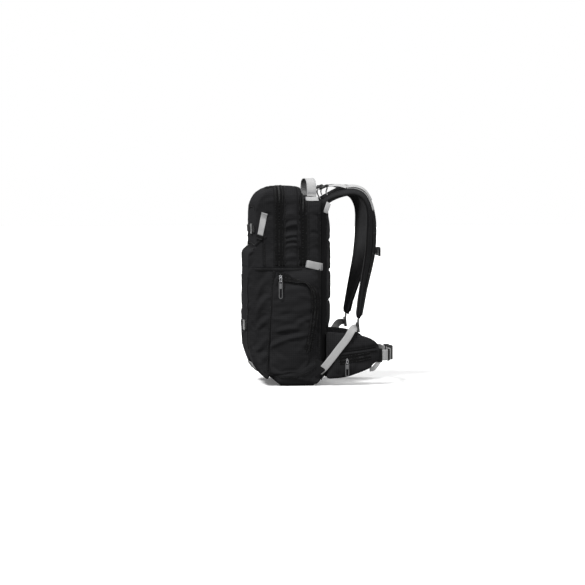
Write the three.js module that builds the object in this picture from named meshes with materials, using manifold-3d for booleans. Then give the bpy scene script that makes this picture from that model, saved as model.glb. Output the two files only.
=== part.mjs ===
// Ski backpack of about 30 litres with straps that carry a board upright on its outer face.
// Millimetres, +Z up. The wearer's back is at +Y, the board side at -Y, the wearer's right at +X.
// The origin is the middle of the flat base.
import * as THREE from "three";
import { mergeVertices } from "three/addons/utils/BufferGeometryUtils.js";
import Module from "manifold-3d";

const wasm = await Module();
wasm.setup();

// Driving dimensions
const HALF_WIDTH = 132; // half the width of the bag across X
const BAG_TOP = 547; // crown of the two front sections
const REAR_TOP = 521; // top of the rear section, where the handle stands
const SPLIT_Z = 325; // the two flaps fold forward above this height
const WALL = 4; // padded fabric wall
const GAP = 0.4; // clearance between neighbouring pieces
const BASE_THICKNESS = 3;
const BACK_Y = 84; // outside of the shell's back wall
const PAD_Y = 102; // face of the back pads
const MAIN_ZIP_Y = 24; // plane of the main compartment's zip
const FLAP_ZIP_Y = -40; // plane of the front flap's zip
const FRONT_Y = -114; // face of the lower front pocket
const FLAP_FRONT_Y = -94; // face of the front flap
const TOP_CORNER = 36; // setback of the rounded top corners
const WEBBING = 20; // narrow webbing
const BELT_WEBBING = 30;
const WEBBING_THICKNESS = 1.8;
const STRAP_THICKNESS = 16;
const CURVE_STEPS = 4; // segments in each rounded corner

const X_AXIS = new THREE.Vector3(1, 0, 0);
const Y_AXIS = new THREE.Vector3(0, 1, 0);
const Z_AXIS = new THREE.Vector3(0, 0, 1);

// For a slab that is extruded along X, Y or Z: where its outline's u and v and its depth point.
const SLAB_FRAMES = {
  x: new THREE.Matrix4().makeBasis(Y_AXIS, Z_AXIS, X_AXIS),
  y: new THREE.Matrix4().makeBasis(X_AXIS, Z_AXIS, Y_AXIS.clone().negate()),
  z: new THREE.Matrix4(),
};

// Materials
function material(colour, roughness, metalness = 0) {
  return () => new THREE.MeshStandardMaterial({ color: colour, roughness, metalness });
}
const ripstop = material(0x1b1b1d, 0.85);
const lining = material(0x2a2c30, 0.9);
const mesh = material(0x141415, 0.95);
const greyWebbing = material(0xa9aaaa, 0.8);
const blackWebbing = material(0x171718, 0.8);
const acetal = material(0x101011, 0.4);
const zipTape = material(0x111112, 0.6);
const aluminium = material(0xb8babd, 0.35, 1);
const frameSheet = material(0x3a3b3d, 0.5);

// Solids
function solid(geometry) {
  const bare = geometry.index ? geometry.toNonIndexed() : geometry.clone();
  bare.deleteAttribute("normal");
  bare.deleteAttribute("uv");
  const merged = mergeVertices(bare, 1e-3);
  const vertProperties = merged.attributes.position.array;
  const triVerts = new Uint32Array(merged.index.array);
  return new wasm.Manifold(new wasm.Mesh({ numProp: 3, vertProperties, triVerts }));
}

function geometryOf(body) {
  const { vertProperties, triVerts } = body.getMesh();
  const geometry = new THREE.BufferGeometry();
  geometry.setAttribute("position", new THREE.BufferAttribute(vertProperties, 3));
  geometry.setIndex(new THREE.BufferAttribute(triVerts, 1));
  geometry.computeVertexNormals();
  return geometry;
}

function union(...bodies) {
  return bodies.reduce((whole, body) => whole.add(body));
}

// The same solid on the other side of the X = 0 plane.
function mirrored(body) {
  const geometry = geometryOf(body);
  geometry.scale(-1, 1, 1);
  const index = geometry.index;
  for (let i = 0; i < index.count; i += 3) {
    const first = index.getX(i);
    index.setX(i, index.getX(i + 1));
    index.setX(i + 1, first);
  }
  return solid(geometry);
}

function moved(body, matrix) {
  return solid(geometryOf(body).applyMatrix4(matrix));
}

// Closed outline through corners [u, v, setback]: a corner with a setback is rounded, by at most
// a little under half of each edge that it lies between.
function outline(corners) {
  const shape = new THREE.Shape();
  const count = corners.length;
  const at = (i) => new THREE.Vector2(corners[(i + count) % count][0], corners[(i + count) % count][1]);
  corners.forEach(([u, v, setback = 0], i) => {
    const back = at(i - 1).sub(at(i));
    const ahead = at(i + 1).sub(at(i));
    const reach = Math.min(setback, 0.49 * back.length(), 0.49 * ahead.length());
    const start = at(i).add(back.setLength(reach));
    const end = at(i).add(ahead.setLength(reach));
    if (i === 0) shape.moveTo(start.x, start.y);
    else shape.lineTo(start.x, start.y);
    if (reach > 0) shape.quadraticCurveTo(u, v, end.x, end.y);
  });
  return shape;
}

// The outline extruded along one axis, from low to high.
function slab(axis, corners, low, high) {
  const settings = { depth: high - low, bevelEnabled: false, curveSegments: CURVE_STEPS };
  const geometry = new THREE.ExtrudeGeometry(outline(corners), settings);
  geometry.translate(0, 0, axis === "y" ? -high : low);
  geometry.applyMatrix4(SLAB_FRAMES[axis]);
  return solid(geometry);
}

function box(low, high) {
  const size = high.map((value, i) => value - low[i]);
  const geometry = new THREE.BoxGeometry(...size);
  geometry.translate(...low.map((value, i) => value + size[i] / 2));
  return solid(geometry);
}

// A flat strap bent along a curve. Its width lies along `across`, turned by `twist` about the path,
// and its face points along width x path. `from` and `to` are shares of the path's length.
function strap(points, settings) {
  const { width, thickness, steps, across = X_AXIS, twist = () => 0, offset = 0, from = 0, to = 1 } = settings;
  const curve = new THREE.CatmullRomCurve3(points.map((p) => new THREE.Vector3(...p)), false, "centripetal");
  const geometry = new THREE.BoxGeometry(1, 1, 1, 1, steps, 1);
  const position = geometry.attributes.position;
  for (let i = 0; i < position.count; i += 1) {
    const share = from + (to - from) * (position.getY(i) + 0.5);
    const place = curve.getPointAt(share);
    const tangent = curve.getTangentAt(share);
    const side = across.clone().addScaledVector(tangent, -across.dot(tangent)).normalize();
    side.applyAxisAngle(tangent, twist(share));
    const face = side.clone().cross(tangent);
    place.addScaledVector(side, position.getX(i) * width(share));
    place.addScaledVector(face, offset + position.getZ(i) * thickness);
    position.setXYZ(i, place.x, place.y, place.z);
  }
  return solid(geometry);
}

const even = (width) => () => width;

// Bag shell
const frontOutline = (top, grow = 0, bottom = 0) => [
  [-HALF_WIDTH - grow, bottom],
  [HALF_WIDTH + grow, bottom],
  [HALF_WIDTH + grow, top + grow, TOP_CORNER + grow],
  [-HALF_WIDTH - grow, top + grow, TOP_CORNER + grow],
];

// Rectangle in plan with rounded corners at the low-Y and high-Y ends.
const planOutline = (half, lowY, highY, lowSetback, highSetback) => [
  [-half, lowY, lowSetback],
  [half, lowY, lowSetback],
  [half, highY, highSetback],
  [-half, highY, highSetback],
];

// Rear compartment: an L in side view, open on top below the flaps and open at the main zip above them.
function mainShell() {
  const side = [
    [-50, BASE_THICKNESS + GAP, 26],
    [72, BASE_THICKNESS + GAP, 15],
    [BACK_Y, 40, 22],
    [BACK_Y, 488, 14],
    [70, REAR_TOP, 12],
    [MAIN_ZIP_Y + GAP, REAR_TOP],
    [MAIN_ZIP_Y + GAP, SPLIT_Z],
    [-52, SPLIT_Z],
    [-62, 60, 30],
  ];
  const hollow = [
    [-45, 9, 20],
    [68, 9, 14],
    [BACK_Y - WALL, 42, 20],
    [BACK_Y - WALL, 485, 12],
    [67, REAR_TOP - WALL, 9],
    [0, REAR_TOP - WALL],
    [0, 340],
    [-47, 340],
    [-57, 62, 26],
  ];
  const outside = slab("x", side, -HALF_WIDTH, HALF_WIDTH)
    .intersect(slab("z", planOutline(HALF_WIDTH, -70, BACK_Y, 0, 26), 0, BAG_TOP))
    .intersect(slab("y", frontOutline(REAR_TOP), -70, BACK_Y + 1));
  const inner = HALF_WIDTH - WALL;
  const inside = slab("x", hollow, -inner, inner)
    .intersect(slab("z", planOutline(inner, -70, BACK_Y - WALL, 0, 22), 0, BAG_TOP))
    .intersect(slab("y", frontOutline(REAR_TOP - WALL, -WALL), -70, BACK_Y));
  return outside.subtract(inside);
}

const pocketPlan = (shrink) => planOutline(HALF_WIDTH - 4 - shrink, FRONT_Y + shrink, -40, 44, 0);

// Lower front pocket, open on top into the front flap.
function frontPocket() {
  const side = [
    [-53, SPLIT_Z - GAP],
    [FRONT_Y, SPLIT_Z - GAP],
    [FRONT_Y, 110, 50],
    [-99, 62, 14],
    [-91, 32, 14],
    [-68, 14, 8],
    [-64.8, 42],
  ];
  const hollow = [
    [-57.5, 340],
    [FRONT_Y + WALL, 340],
    [FRONT_Y + WALL, 112, 46],
    [-95, 66, 12],
    [-87, 37, 10],
    [-73, 24],
    [-69, 44],
  ];
  const inner = HALF_WIDTH - 4 - WALL;
  const outside = slab("x", side, -HALF_WIDTH, HALF_WIDTH).intersect(slab("z", pocketPlan(0), 0, SPLIT_Z));
  const inside = slab("x", hollow, -inner, inner).intersect(slab("z", pocketPlan(WALL), 0, BAG_TOP));
  return outside.subtract(inside);
}

// Middle section between the two zips: a frame with the divider as its front wall.
function mainFlap() {
  const low = SPLIT_Z + GAP;
  const side = [
    [FLAP_ZIP_Y, low],
    [MAIN_ZIP_Y, low],
    [MAIN_ZIP_Y, BAG_TOP - 2, 4],
    [FLAP_ZIP_Y, BAG_TOP],
  ];
  const inner = HALF_WIDTH - WALL;
  const outside = slab("x", side, -HALF_WIDTH, HALF_WIDTH).intersect(
    slab("y", frontOutline(BAG_TOP), FLAP_ZIP_Y - 1, MAIN_ZIP_Y + 1),
  );
  const inside = slab("y", frontOutline(BAG_TOP - WALL - 2, -WALL + 2), FLAP_ZIP_Y + WALL, MAIN_ZIP_Y + 5)
    .intersect(box([-inner, -60, 0], [inner, 60, BAG_TOP]));
  return outside.subtract(inside);
}

// Front flap: the upper front of the bag, with the top edge of the lower front panel standing proud.
function frontFlap() {
  const low = SPLIT_Z + GAP;
  const back = FLAP_ZIP_Y - GAP;
  const side = [
    [back, low],
    [back, BAG_TOP - 0.5, 4],
    [-58, BAG_TOP - 2, 10],
    [-88, 522, 15],
    [FLAP_FRONT_Y, 490, 15],
    [FLAP_FRONT_Y, low],
  ];
  const proud = [
    [-70, low],
    [-70, 400],
    [-92, 400, 8],
    [FRONT_Y, 374, 10],
    [FRONT_Y, low],
  ];
  const inner = HALF_WIDTH - WALL;
  const upper = slab("x", side, -HALF_WIDTH, HALF_WIDTH)
    .intersect(slab("z", planOutline(HALF_WIDTH, FLAP_FRONT_Y, 0, 30, 0), 0, BAG_TOP))
    .intersect(slab("y", frontOutline(BAG_TOP), FRONT_Y, 0));
  const bulge = slab("x", proud, -HALF_WIDTH, HALF_WIDTH).intersect(slab("z", pocketPlan(0), 0, BAG_TOP));
  const upperHollow = slab("z", planOutline(inner, FLAP_FRONT_Y + WALL, 0, 27, 0), 0, 512)
    .intersect(slab("y", frontOutline(512, -WALL), FRONT_Y, 0));
  const lowerHollow = slab("z", pocketPlan(WALL), 0, 372);
  return union(upper, bulge).subtract(upperHollow).subtract(lowerHollow);
}

function basePanel() {
  return slab("z", planOutline(HALF_WIDTH - 12, -34, 60, 20, 20), 0, BASE_THICKNESS);
}

// U-shaped zip track around a section's rounded top, in the plane y.
function zipTrack(y, top) {
  const half = 3.5;
  const rise = 2;
  const ring = slab("y", frontOutline(top, rise + GAP, SPLIT_Z + 6), y - half, y + half);
  return ring.subtract(slab("y", frontOutline(top, GAP, 0), y - half - 1, y + half + 1));
}

// Back panel
function frameSheetPanel() {
  return slab("y", outlineOfPanel(100, 40, 488, 30), BACK_Y + 3.8, BACK_Y + 5.2);
}

function outlineOfPanel(half, low, high, setback) {
  return [
    [-half, low, setback],
    [half, low, setback],
    [half, high, setback],
    [-half, high, setback],
  ];
}

function frameStay() {
  return slab("y", outlineOfPanel(12.5, 50, 484, 5), BACK_Y + GAP, BACK_Y + 3.4);
}

function backPadRight() {
  const corners = [
    [14, 156, 12],
    [108, 156, 16],
    [112, 300, 30],
    [104, 482, 26],
    [14, 482, 12],
  ];
  return slab("y", corners, BACK_Y + 5.7, PAD_Y);
}

function lumbarPad() {
  const corners = [
    [-107, 20, 14],
    [107, 20, 14],
    [107, 143, 20],
    [-107, 143, 20],
  ];
  return slab("y", corners, BACK_Y + 5.7, PAD_Y + 6);
}

// Open-topped sleeve for a water bladder, inside against the back wall.
function hydrationSleeve() {
  const outside = box([-80, 60, 110], [80, BACK_Y - WALL - GAP, 440]);
  return outside.subtract(box([-78, 62, 112], [78, BACK_Y, 450]));
}

// Side pocket with its curved zip
const POCKET_FACE_X = HALF_WIDTH + 9;

function sidePocketRight() {
  const corners = [
    [-58, 294, 8],
    [-46, 307, 6],
    [38, 289, 24],
    [62, 258, 20],
    [64, 210, 30],
    [50, 96, 20],
    [34, 38, 20],
    [-62, 30, 14],
    [-70, 60, 10],
  ];
  return slab("x", corners, HALF_WIDTH + GAP, POCKET_FACE_X);
}

const SIDE_ZIP = [
  [-43, 302],
  [-2, 293.5],
  [34, 285],
  [51, 266],
  [57, 240],
  [57, 205],
  [50, 150],
  [39, 98],
];

function sideZipRight() {
  const points = SIDE_ZIP.map(([y, z]) => [POCKET_FACE_X + 1.2, y, z]);
  return strap(points, { width: even(1.6), thickness: 7, steps: 22 });
}

// A zip slider on a track whose face points along +X: body and bail in one piece.
function zipSlider(x, y, z) {
  const body = box([x, y - 5, z - 4.5], [x + 3, y + 5, z + 4.5]);
  const bail = box([x + 2.5, y - 2, z - 3], [x + 4.6, y + 2, z + 3]);
  return union(body, bail);
}

// A moulded pull that hangs from a slider: link, grip and end loop.
function zipPull(x, y, z, length) {
  const link = box([x, y - 2, z - length * 0.45], [x + 2.4, y + 2, z]);
  const loop = slab("x", [
    [y - 5.5, z - length, 4],
    [y + 5.5, z - length, 4],
    [y + 4, z - length * 0.4, 3],
    [y - 4, z - length * 0.4, 3],
  ], x - 0.2, x + 3.4);
  const hole = box([x - 2, y - 2.4, z - length * 0.9], [x + 5, y + 2.4, z - length * 0.62]);
  return union(link, loop).subtract(hole);
}

// A slider whose pull is fixed to it.
function sliderWithPull(x, y, z, length) {
  return union(zipSlider(x, y, z), zipPull(x + 4, y, z + 1, length));
}

// Grey webbing sewn to the bag
function upperTabRight() {
  const corners = [
    [33, 508, 1],
    [73, 509, 2],
    [70, 519, 2],
    [33, 520, 1],
  ];
  return slab("x", corners, HALF_WIDTH + GAP, HALF_WIDTH + GAP + WEBBING_THICKNESS);
}

function sideTabRight() {
  const corners = [
    [33, 326.5, 1],
    [80, 316, 1],
    [82, 336, 1],
    [34.5, 346.5, 1],
  ];
  return slab("x", corners, HALF_WIDTH + GAP, HALF_WIDTH + GAP + WEBBING_THICKNESS);
}

// Slanted webbing that follows the flap's rounded front corner.
function flapSideStrapRight() {
  const grown = (by) => slab("z", planOutline(HALF_WIDTH + by, FLAP_FRONT_Y - by, 0, 30 + by, 0), 380, 500);
  const side = [
    [-100, 408, 1],
    [-83, 409, 1],
    [-72.5, 462, 1],
    [-85, 482, 1],
  ];
  const skin = grown(WEBBING_THICKNESS + GAP).subtract(grown(GAP));
  return skin.intersect(slab("x", side, 106, HALF_WIDTH + 4));
}

// Straight webbing across the front at one height
function frontStrap(half, y, z) {
  const low = [-half, y - WEBBING_THICKNESS, z - WEBBING / 2];
  return box(low, [half, y, z + WEBBING / 2]);
}

// Loop of grey webbing low on the front, drawn flat against the pocket
function baseBoardStrap() {
  const y = -101.6;
  const low = [-62, y - WEBBING_THICKNESS, 34];
  return box(low, [62, y, 59]);
}

// Side-release buckles. Local frame: the male half slides along +x into the female half, whose mouth is
// at x = 0; y is the width, and z is the thickness, standing on the webbing at z = 0. The male half is
// made unfastened, and its prong's length takes it home.
const SMALL_BUCKLE = { width: 28, thickness: 9, female: 28, prong: 20, body: 16 };
const BELT_BUCKLE = { width: 40, thickness: 13, female: 36, prong: 27, body: 22 };
const BUCKLE_REST_GAP = 2;

function buckleFemale({ width, thickness, female }) {
  const half = width / 2;
  const shell = slab("z", [
    [0, -half, 2],
    [female, -half, 6],
    [female, half, 6],
    [0, half, 2],
  ], 0, thickness);
  return shell.subtract(box([-1, -half + 2.5, 2], [female - 5, half - 2.5, thickness - 2]));
}

function buckleMale({ width, thickness, prong, body }) {
  const tip = -BUCKLE_REST_GAP;
  const root = tip - prong;
  const half = width / 2;
  const block = slab("z", [
    [root - body, -half + 2, 3],
    [root, -half, 2],
    [root, half, 2],
    [root - body, half - 2, 3],
  ], 0, thickness);
  const slot = box([root - body + 4, -half + 5, -1], [root - body + 7.5, half - 5, thickness + 1]);
  const arm = (y) => box([root - 1, y - 2.2, 3], [tip, y + 2.2, thickness - 3]);
  return union(block.subtract(slot), arm(-half + 6), arm(0), arm(half - 6));
}

// Buckle frames: width along Z, standing out towards -Y or +Y.
const OUT_FRONT = new THREE.Matrix4().makeBasis(X_AXIS, Z_AXIS, Y_AXIS.clone().negate());
const OUT_BACK = new THREE.Matrix4().makeBasis(X_AXIS, Z_AXIS.clone().negate(), Y_AXIS);

function placed(body, frame, x, y, z) {
  return moved(body, frame.clone().setPosition(x, y, z));
}

// Shoulder strap: padded band from the top of the back panel over the shoulder to the hip.
const STRAP_PATH = [
  [58, 89, 500],
  [61, 112, 516],
  [65, 140, 530],
  [69, 168, 537],
  [73, 196, 528],
  [76, 214, 502],
  [77, 222, 465],
  [78, 222, 392],
  [82, 216, 344],
  [90, 206, 300],
  [102, 193, 244],
  [114, 181, 186],
];
const strapTwist = (share) => {
  const { smoothstep } = THREE.MathUtils;
  const tip = 1 - smoothstep(share, 0.88, 1);
  return 0.34 * smoothstep(share, 0.03, 0.2) + 0.14 * smoothstep(share, 0.3, 0.5) * tip;
};
const strapWidth = (share) => 62 + 8 * Math.sin(Math.PI * share) - 34 * THREE.MathUtils.smoothstep(share, 0.6, 1);

function shoulderStrapRight() {
  const settings = { width: strapWidth, thickness: STRAP_THICKNESS, steps: 24, twist: strapTwist };
  return strap(STRAP_PATH, settings);
}

function ladderLock(width, length, thickness) {
  const half = width / 2;
  const frame = box([-half, -length / 2, 0], [half, length / 2, thickness]);
  const slot = (y) => box([-half + 3, y - 2, -1], [half - 3, y + 2, thickness + 1]);
  return frame.subtract(slot(-length / 4)).subtract(slot(length / 4));
}

// Load lifter: webbing that lies on the strap's outer face and runs back to a ladder lock at the top.
function loadLifterRight() {
  const settings = { width: even(WEBBING), thickness: WEBBING_THICKNESS, twist: strapTwist };
  const lift = STRAP_THICKNESS / 2 + 3.4;
  const onStrap = strap(STRAP_PATH, { ...settings, steps: 8, offset: lift, from: 0.175, to: 0.42 });
  const free = [
    [55, 89, 546.6],
    [60, 110, 549],
    [66, 134, 550.5],
    [72, 162, 549.4],
  ];
  const toLock = strap(free, { width: even(WEBBING), thickness: WEBBING_THICKNESS, steps: 5 });
  const tilt = new THREE.Matrix4().makeRotationX(0.25).setPosition(55, 93, 544);
  return union(onStrap, toLock, moved(ladderLock(24, 28, 5), tilt));
}

function ladderLockRight() {
  const place = new THREE.Matrix4().makeRotationX(Math.PI / 2 + 0.1).setPosition(121, 182, 160);
  const tab = strap([[116.5, 180.8, 183.5], [121, 179.6, 167]], { width: even(18), thickness: 3, steps: 1 });
  return union(moved(ladderLock(28, 26, 6), place), tab);
}

// Webbing from the bag's lower rear corner, outside the hip wing, up to the ladder lock.
function lowerWebbingRight() {
  const points = [
    [137, 83, 50],
    [142.8, 101, 73],
    [144.3, 124, 103],
    [144.6, 146, 131],
    [142.6, 157, 149],
    [135, 165, 158],
  ];
  const settings = { width: even(WEBBING), thickness: WEBBING_THICKNESS, steps: 14 };
  return strap(points, { ...settings, across: new THREE.Vector3(0.1, 0.72, -0.69).normalize() });
}

// Sternum strap: a clip on each shoulder strap, webbing between them and a small buckle.
const STERNUM_Z = 366;
const STERNUM_Y = 246.5;

function sternumHalf(sign, innerX) {
  const near = Math.min(sign * innerX, sign * 84);
  const far = Math.max(sign * innerX, sign * 84);
  const webbing = box([near, STERNUM_Y, STERNUM_Z - 8], [far, STERNUM_Y + 1.5, STERNUM_Z + 8]);
  const clipLow = Math.min(sign * 62, sign * 80);
  const clip = box([clipLow, STERNUM_Y - 1, STERNUM_Z - 12.5], [clipLow + 18, STERNUM_Y + 3, STERNUM_Z + 12.5]);
  return union(webbing, clip);
}

const STERNUM_BUCKLE = { width: 24, thickness: 8, female: 26, prong: 18, body: 14 };

// Hip belt
const BELT_Y = 277; // plane of the belt webbing where it meets the buckle
const BELT_Z = 82;

function hipWingRight() {
  const side = [
    [91, 17, 8],
    [150, 22, 20],
    [205, 42, 20],
    [241, 72, 12],
    [240, 108, 10],
    [222, 128, 16],
    [180, 142, 24],
    [91, 149, 8],
  ];
  const plan = [
    [112, 91, 4],
    [137, 91, 4],
    [138, 150, 30],
    [137, 205, 20],
    [130, 241, 4],
    [121, 241, 4],
    [110, 200, 30],
    [106, 150, 30],
  ];
  return slab("x", side, 100, 145).intersect(slab("z", plan, 0, 150));
}

const HIP_ZIP_START = [137, 126, 70];

function hipZipRight() {
  const points = [HIP_ZIP_START, [139.2, 150, 73.5], [138.4, 190, 79.5]].map(([x, y, z]) => [x + 1.4, y, z]);
  return strap(points, { width: even(1.4), thickness: 7, steps: 8 });
}

// Belt webbing from the wing's tip, turning inwards to the buckle; innerX is where it ends.
function beltWebbing(innerX) {
  const points = [
    [125.5, 242, BELT_Z],
    [122, 256, BELT_Z],
    [106, 270, BELT_Z],
    [84, BELT_Y - 0.6, BELT_Z],
    [64, BELT_Y, BELT_Z],
    [innerX + 20, BELT_Y, BELT_Z],
    [innerX, BELT_Y, BELT_Z],
  ];
  const settings = { width: even(BELT_WEBBING), thickness: WEBBING_THICKNESS, steps: 16 };
  return strap(points, { ...settings, across: Z_AXIS });
}

// Grab handle: an upright webbing arch whose feet stand on the rear section.
function grabHandle() {
  const y = 57;
  const points = [
    [71, y, REAR_TOP + 4],
    [70, y, 540],
    [58, y, 560],
    [30, y, 568.5],
    [0, y, 570],
    [-30, y, 568.5],
    [-58, y, 560],
    [-70, y, 540],
    [-71, y, REAR_TOP + 4],
  ];
  return strap(points, { width: even(26), thickness: 2.2, steps: 24, across: Y_AXIS });
}

// Assembly
const group = new THREE.Group();

function add(name, body, finish) {
  const piece = new THREE.Mesh(geometryOf(body), finish());
  piece.name = name;
  group.add(piece);
}

function addPair(name, right, finish) {
  add(name + "_right", right, finish);
  add(name + "_left", mirrored(right), finish);
}

add("main_shell", mainShell(), ripstop);
add("front_pocket", frontPocket(), ripstop);
add("base_panel", basePanel(), ripstop);
add("main_flap", mainFlap(), ripstop);
add("front_flap", frontFlap(), ripstop);
add("main_zip", zipTrack(MAIN_ZIP_Y + 4.5, REAR_TOP), zipTape);
add("front_zip", zipTrack(FLAP_ZIP_Y + 4, BAG_TOP), zipTape);
add("frame_sheet", frameSheetPanel(), frameSheet);
add("frame_stay", frameStay(), aluminium);
addPair("back_pad", backPadRight(), mesh);
add("lumbar_pad", lumbarPad(), mesh);
add("hydration_sleeve", hydrationSleeve(), lining);
addPair("side_pocket", sidePocketRight(), ripstop);
addPair("side_zip", sideZipRight(), zipTape);
addPair("side_zip_slider", zipSlider(POCKET_FACE_X + 2.4, -38, 301), acetal);
addPair("side_zip_pull", zipPull(POCKET_FACE_X + 7.4, -38, 300, 60), acetal);
addPair("upper_tab", upperTabRight(), greyWebbing);
addPair("side_tab", sideTabRight(), greyWebbing);
addPair("flap_side_strap", flapSideStrapRight(), greyWebbing);

for (const [name, y] of [["front", FLAP_ZIP_Y + 4], ["main", MAIN_ZIP_Y + 4.5]]) {
  add(name + "_zip_slider", mirrored(sliderWithPull(HALF_WIDTH + GAP + 2.4, y, 340, 24)), acetal);
}

const UPPER_STRAP_Y = FLAP_FRONT_Y - GAP;
const LOWER_STRAP_Y = FRONT_Y - GAP;
add("upper_board_strap", frontStrap(98, UPPER_STRAP_Y, 430), blackWebbing);
add("lower_board_strap", frontStrap(80, LOWER_STRAP_Y, 162), blackWebbing);
add("base_board_strap", baseBoardStrap(), greyWebbing);
for (const [name, y, z] of [["upper", UPPER_STRAP_Y, 430], ["lower", LOWER_STRAP_Y, 162]]) {
  const face = y - WEBBING_THICKNESS - GAP;
  add(name + "_buckle_female", placed(buckleFemale(SMALL_BUCKLE), OUT_FRONT, 4, face, z), acetal);
  add(name + "_buckle_male", placed(buckleMale(SMALL_BUCKLE), OUT_FRONT, 4 + SMALL_BUCKLE.prong, face, z), acetal);
}

addPair("shoulder_strap", shoulderStrapRight(), ripstop);
addPair("load_lifter", loadLifterRight(), greyWebbing);
addPair("ladder_lock", ladderLockRight(), acetal);
addPair("lower_webbing", lowerWebbingRight(), greyWebbing);

const sternumFace = STERNUM_Y + 1.5;
const sternumFemale = placed(buckleFemale(STERNUM_BUCKLE), OUT_BACK, 2, sternumFace, STERNUM_Z);
const sternumMaleX = 2 + STERNUM_BUCKLE.prong;
const sternumMale = placed(buckleMale(STERNUM_BUCKLE), OUT_BACK, sternumMaleX, sternumFace + GAP, STERNUM_Z);
add("sternum_strap_right", union(sternumHalf(1, 10), sternumFemale), blackWebbing);
add("sternum_strap_left", sternumHalf(-1, 14), blackWebbing);
add("sternum_buckle_male", sternumMale, acetal);

addPair("hip_wing", hipWingRight(), ripstop);
addPair("hip_zip_slider", zipSlider(141.6, 146, 72.9), acetal);
addPair("hip_zip_pull", zipPull(146.6, 146, 71, 46), acetal);
addPair("hip_zip", hipZipRight(), zipTape);
add("belt_webbing_right", beltWebbing(12), greyWebbing);
add("belt_webbing_left", mirrored(beltWebbing(18)), greyWebbing);
const beltFace = BELT_Y + WEBBING_THICKNESS / 2 + GAP;
add("belt_buckle_female", placed(buckleFemale(BELT_BUCKLE), OUT_BACK, 2, beltFace, BELT_Z), acetal);
add("belt_buckle_male", placed(buckleMale(BELT_BUCKLE), OUT_BACK, 2, beltFace, BELT_Z), acetal);
add("grab_handle", grabHandle(), greyWebbing);

export default group;
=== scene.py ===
"""Ski backpack: fabric, webbing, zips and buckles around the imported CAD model. Metres, +Z up."""

import math

import bmesh
import bpy
import numpy as np
from mathutils import Matrix, Vector, noise
from mathutils.bvhtree import BVHTree


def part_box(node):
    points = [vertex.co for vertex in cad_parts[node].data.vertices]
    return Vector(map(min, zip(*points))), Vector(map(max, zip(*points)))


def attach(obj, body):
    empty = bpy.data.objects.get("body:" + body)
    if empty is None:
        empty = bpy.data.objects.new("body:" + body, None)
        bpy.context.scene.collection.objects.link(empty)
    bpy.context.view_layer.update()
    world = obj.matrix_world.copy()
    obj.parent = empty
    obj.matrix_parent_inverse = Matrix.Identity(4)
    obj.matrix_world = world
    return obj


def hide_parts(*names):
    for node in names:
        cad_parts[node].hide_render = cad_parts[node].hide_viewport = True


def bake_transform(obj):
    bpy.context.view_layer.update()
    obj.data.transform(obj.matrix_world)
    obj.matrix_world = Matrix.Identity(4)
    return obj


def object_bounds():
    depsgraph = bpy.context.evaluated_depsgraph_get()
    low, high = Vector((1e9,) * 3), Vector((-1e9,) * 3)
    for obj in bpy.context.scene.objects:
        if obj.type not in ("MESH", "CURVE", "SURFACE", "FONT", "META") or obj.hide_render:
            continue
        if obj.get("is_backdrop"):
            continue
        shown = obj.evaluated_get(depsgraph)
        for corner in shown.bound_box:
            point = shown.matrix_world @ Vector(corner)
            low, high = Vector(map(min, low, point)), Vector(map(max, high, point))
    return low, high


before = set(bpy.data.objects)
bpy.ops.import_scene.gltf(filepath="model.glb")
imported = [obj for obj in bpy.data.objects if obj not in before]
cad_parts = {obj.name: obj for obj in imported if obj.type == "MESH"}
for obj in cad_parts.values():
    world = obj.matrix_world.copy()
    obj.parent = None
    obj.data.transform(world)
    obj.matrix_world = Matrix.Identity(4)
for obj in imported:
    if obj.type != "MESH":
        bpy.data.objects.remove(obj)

CAD_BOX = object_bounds()
MM = 0.001
SIDES = (("right", 1), ("left", -1))
RAY_START = 0.3  # metres from the pack's middle, outside every skin that rays are cast at
LOADED_WEBBING = 0.0205  # width of the webbing that carries load, in metres
CROWN_Z = 0.44  # rays at the rounded top of the bag aim at this height

# Planes of the bag, read from the frame
SPLIT_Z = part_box("main_flap")[0][2]
FLAP_ZIP_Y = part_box("main_flap")[0][1]
MAIN_ZIP_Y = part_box("main_flap")[1][1]
BACK_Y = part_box("main_shell")[1][1]
REAR_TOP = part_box("main_shell")[1][2]


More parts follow.
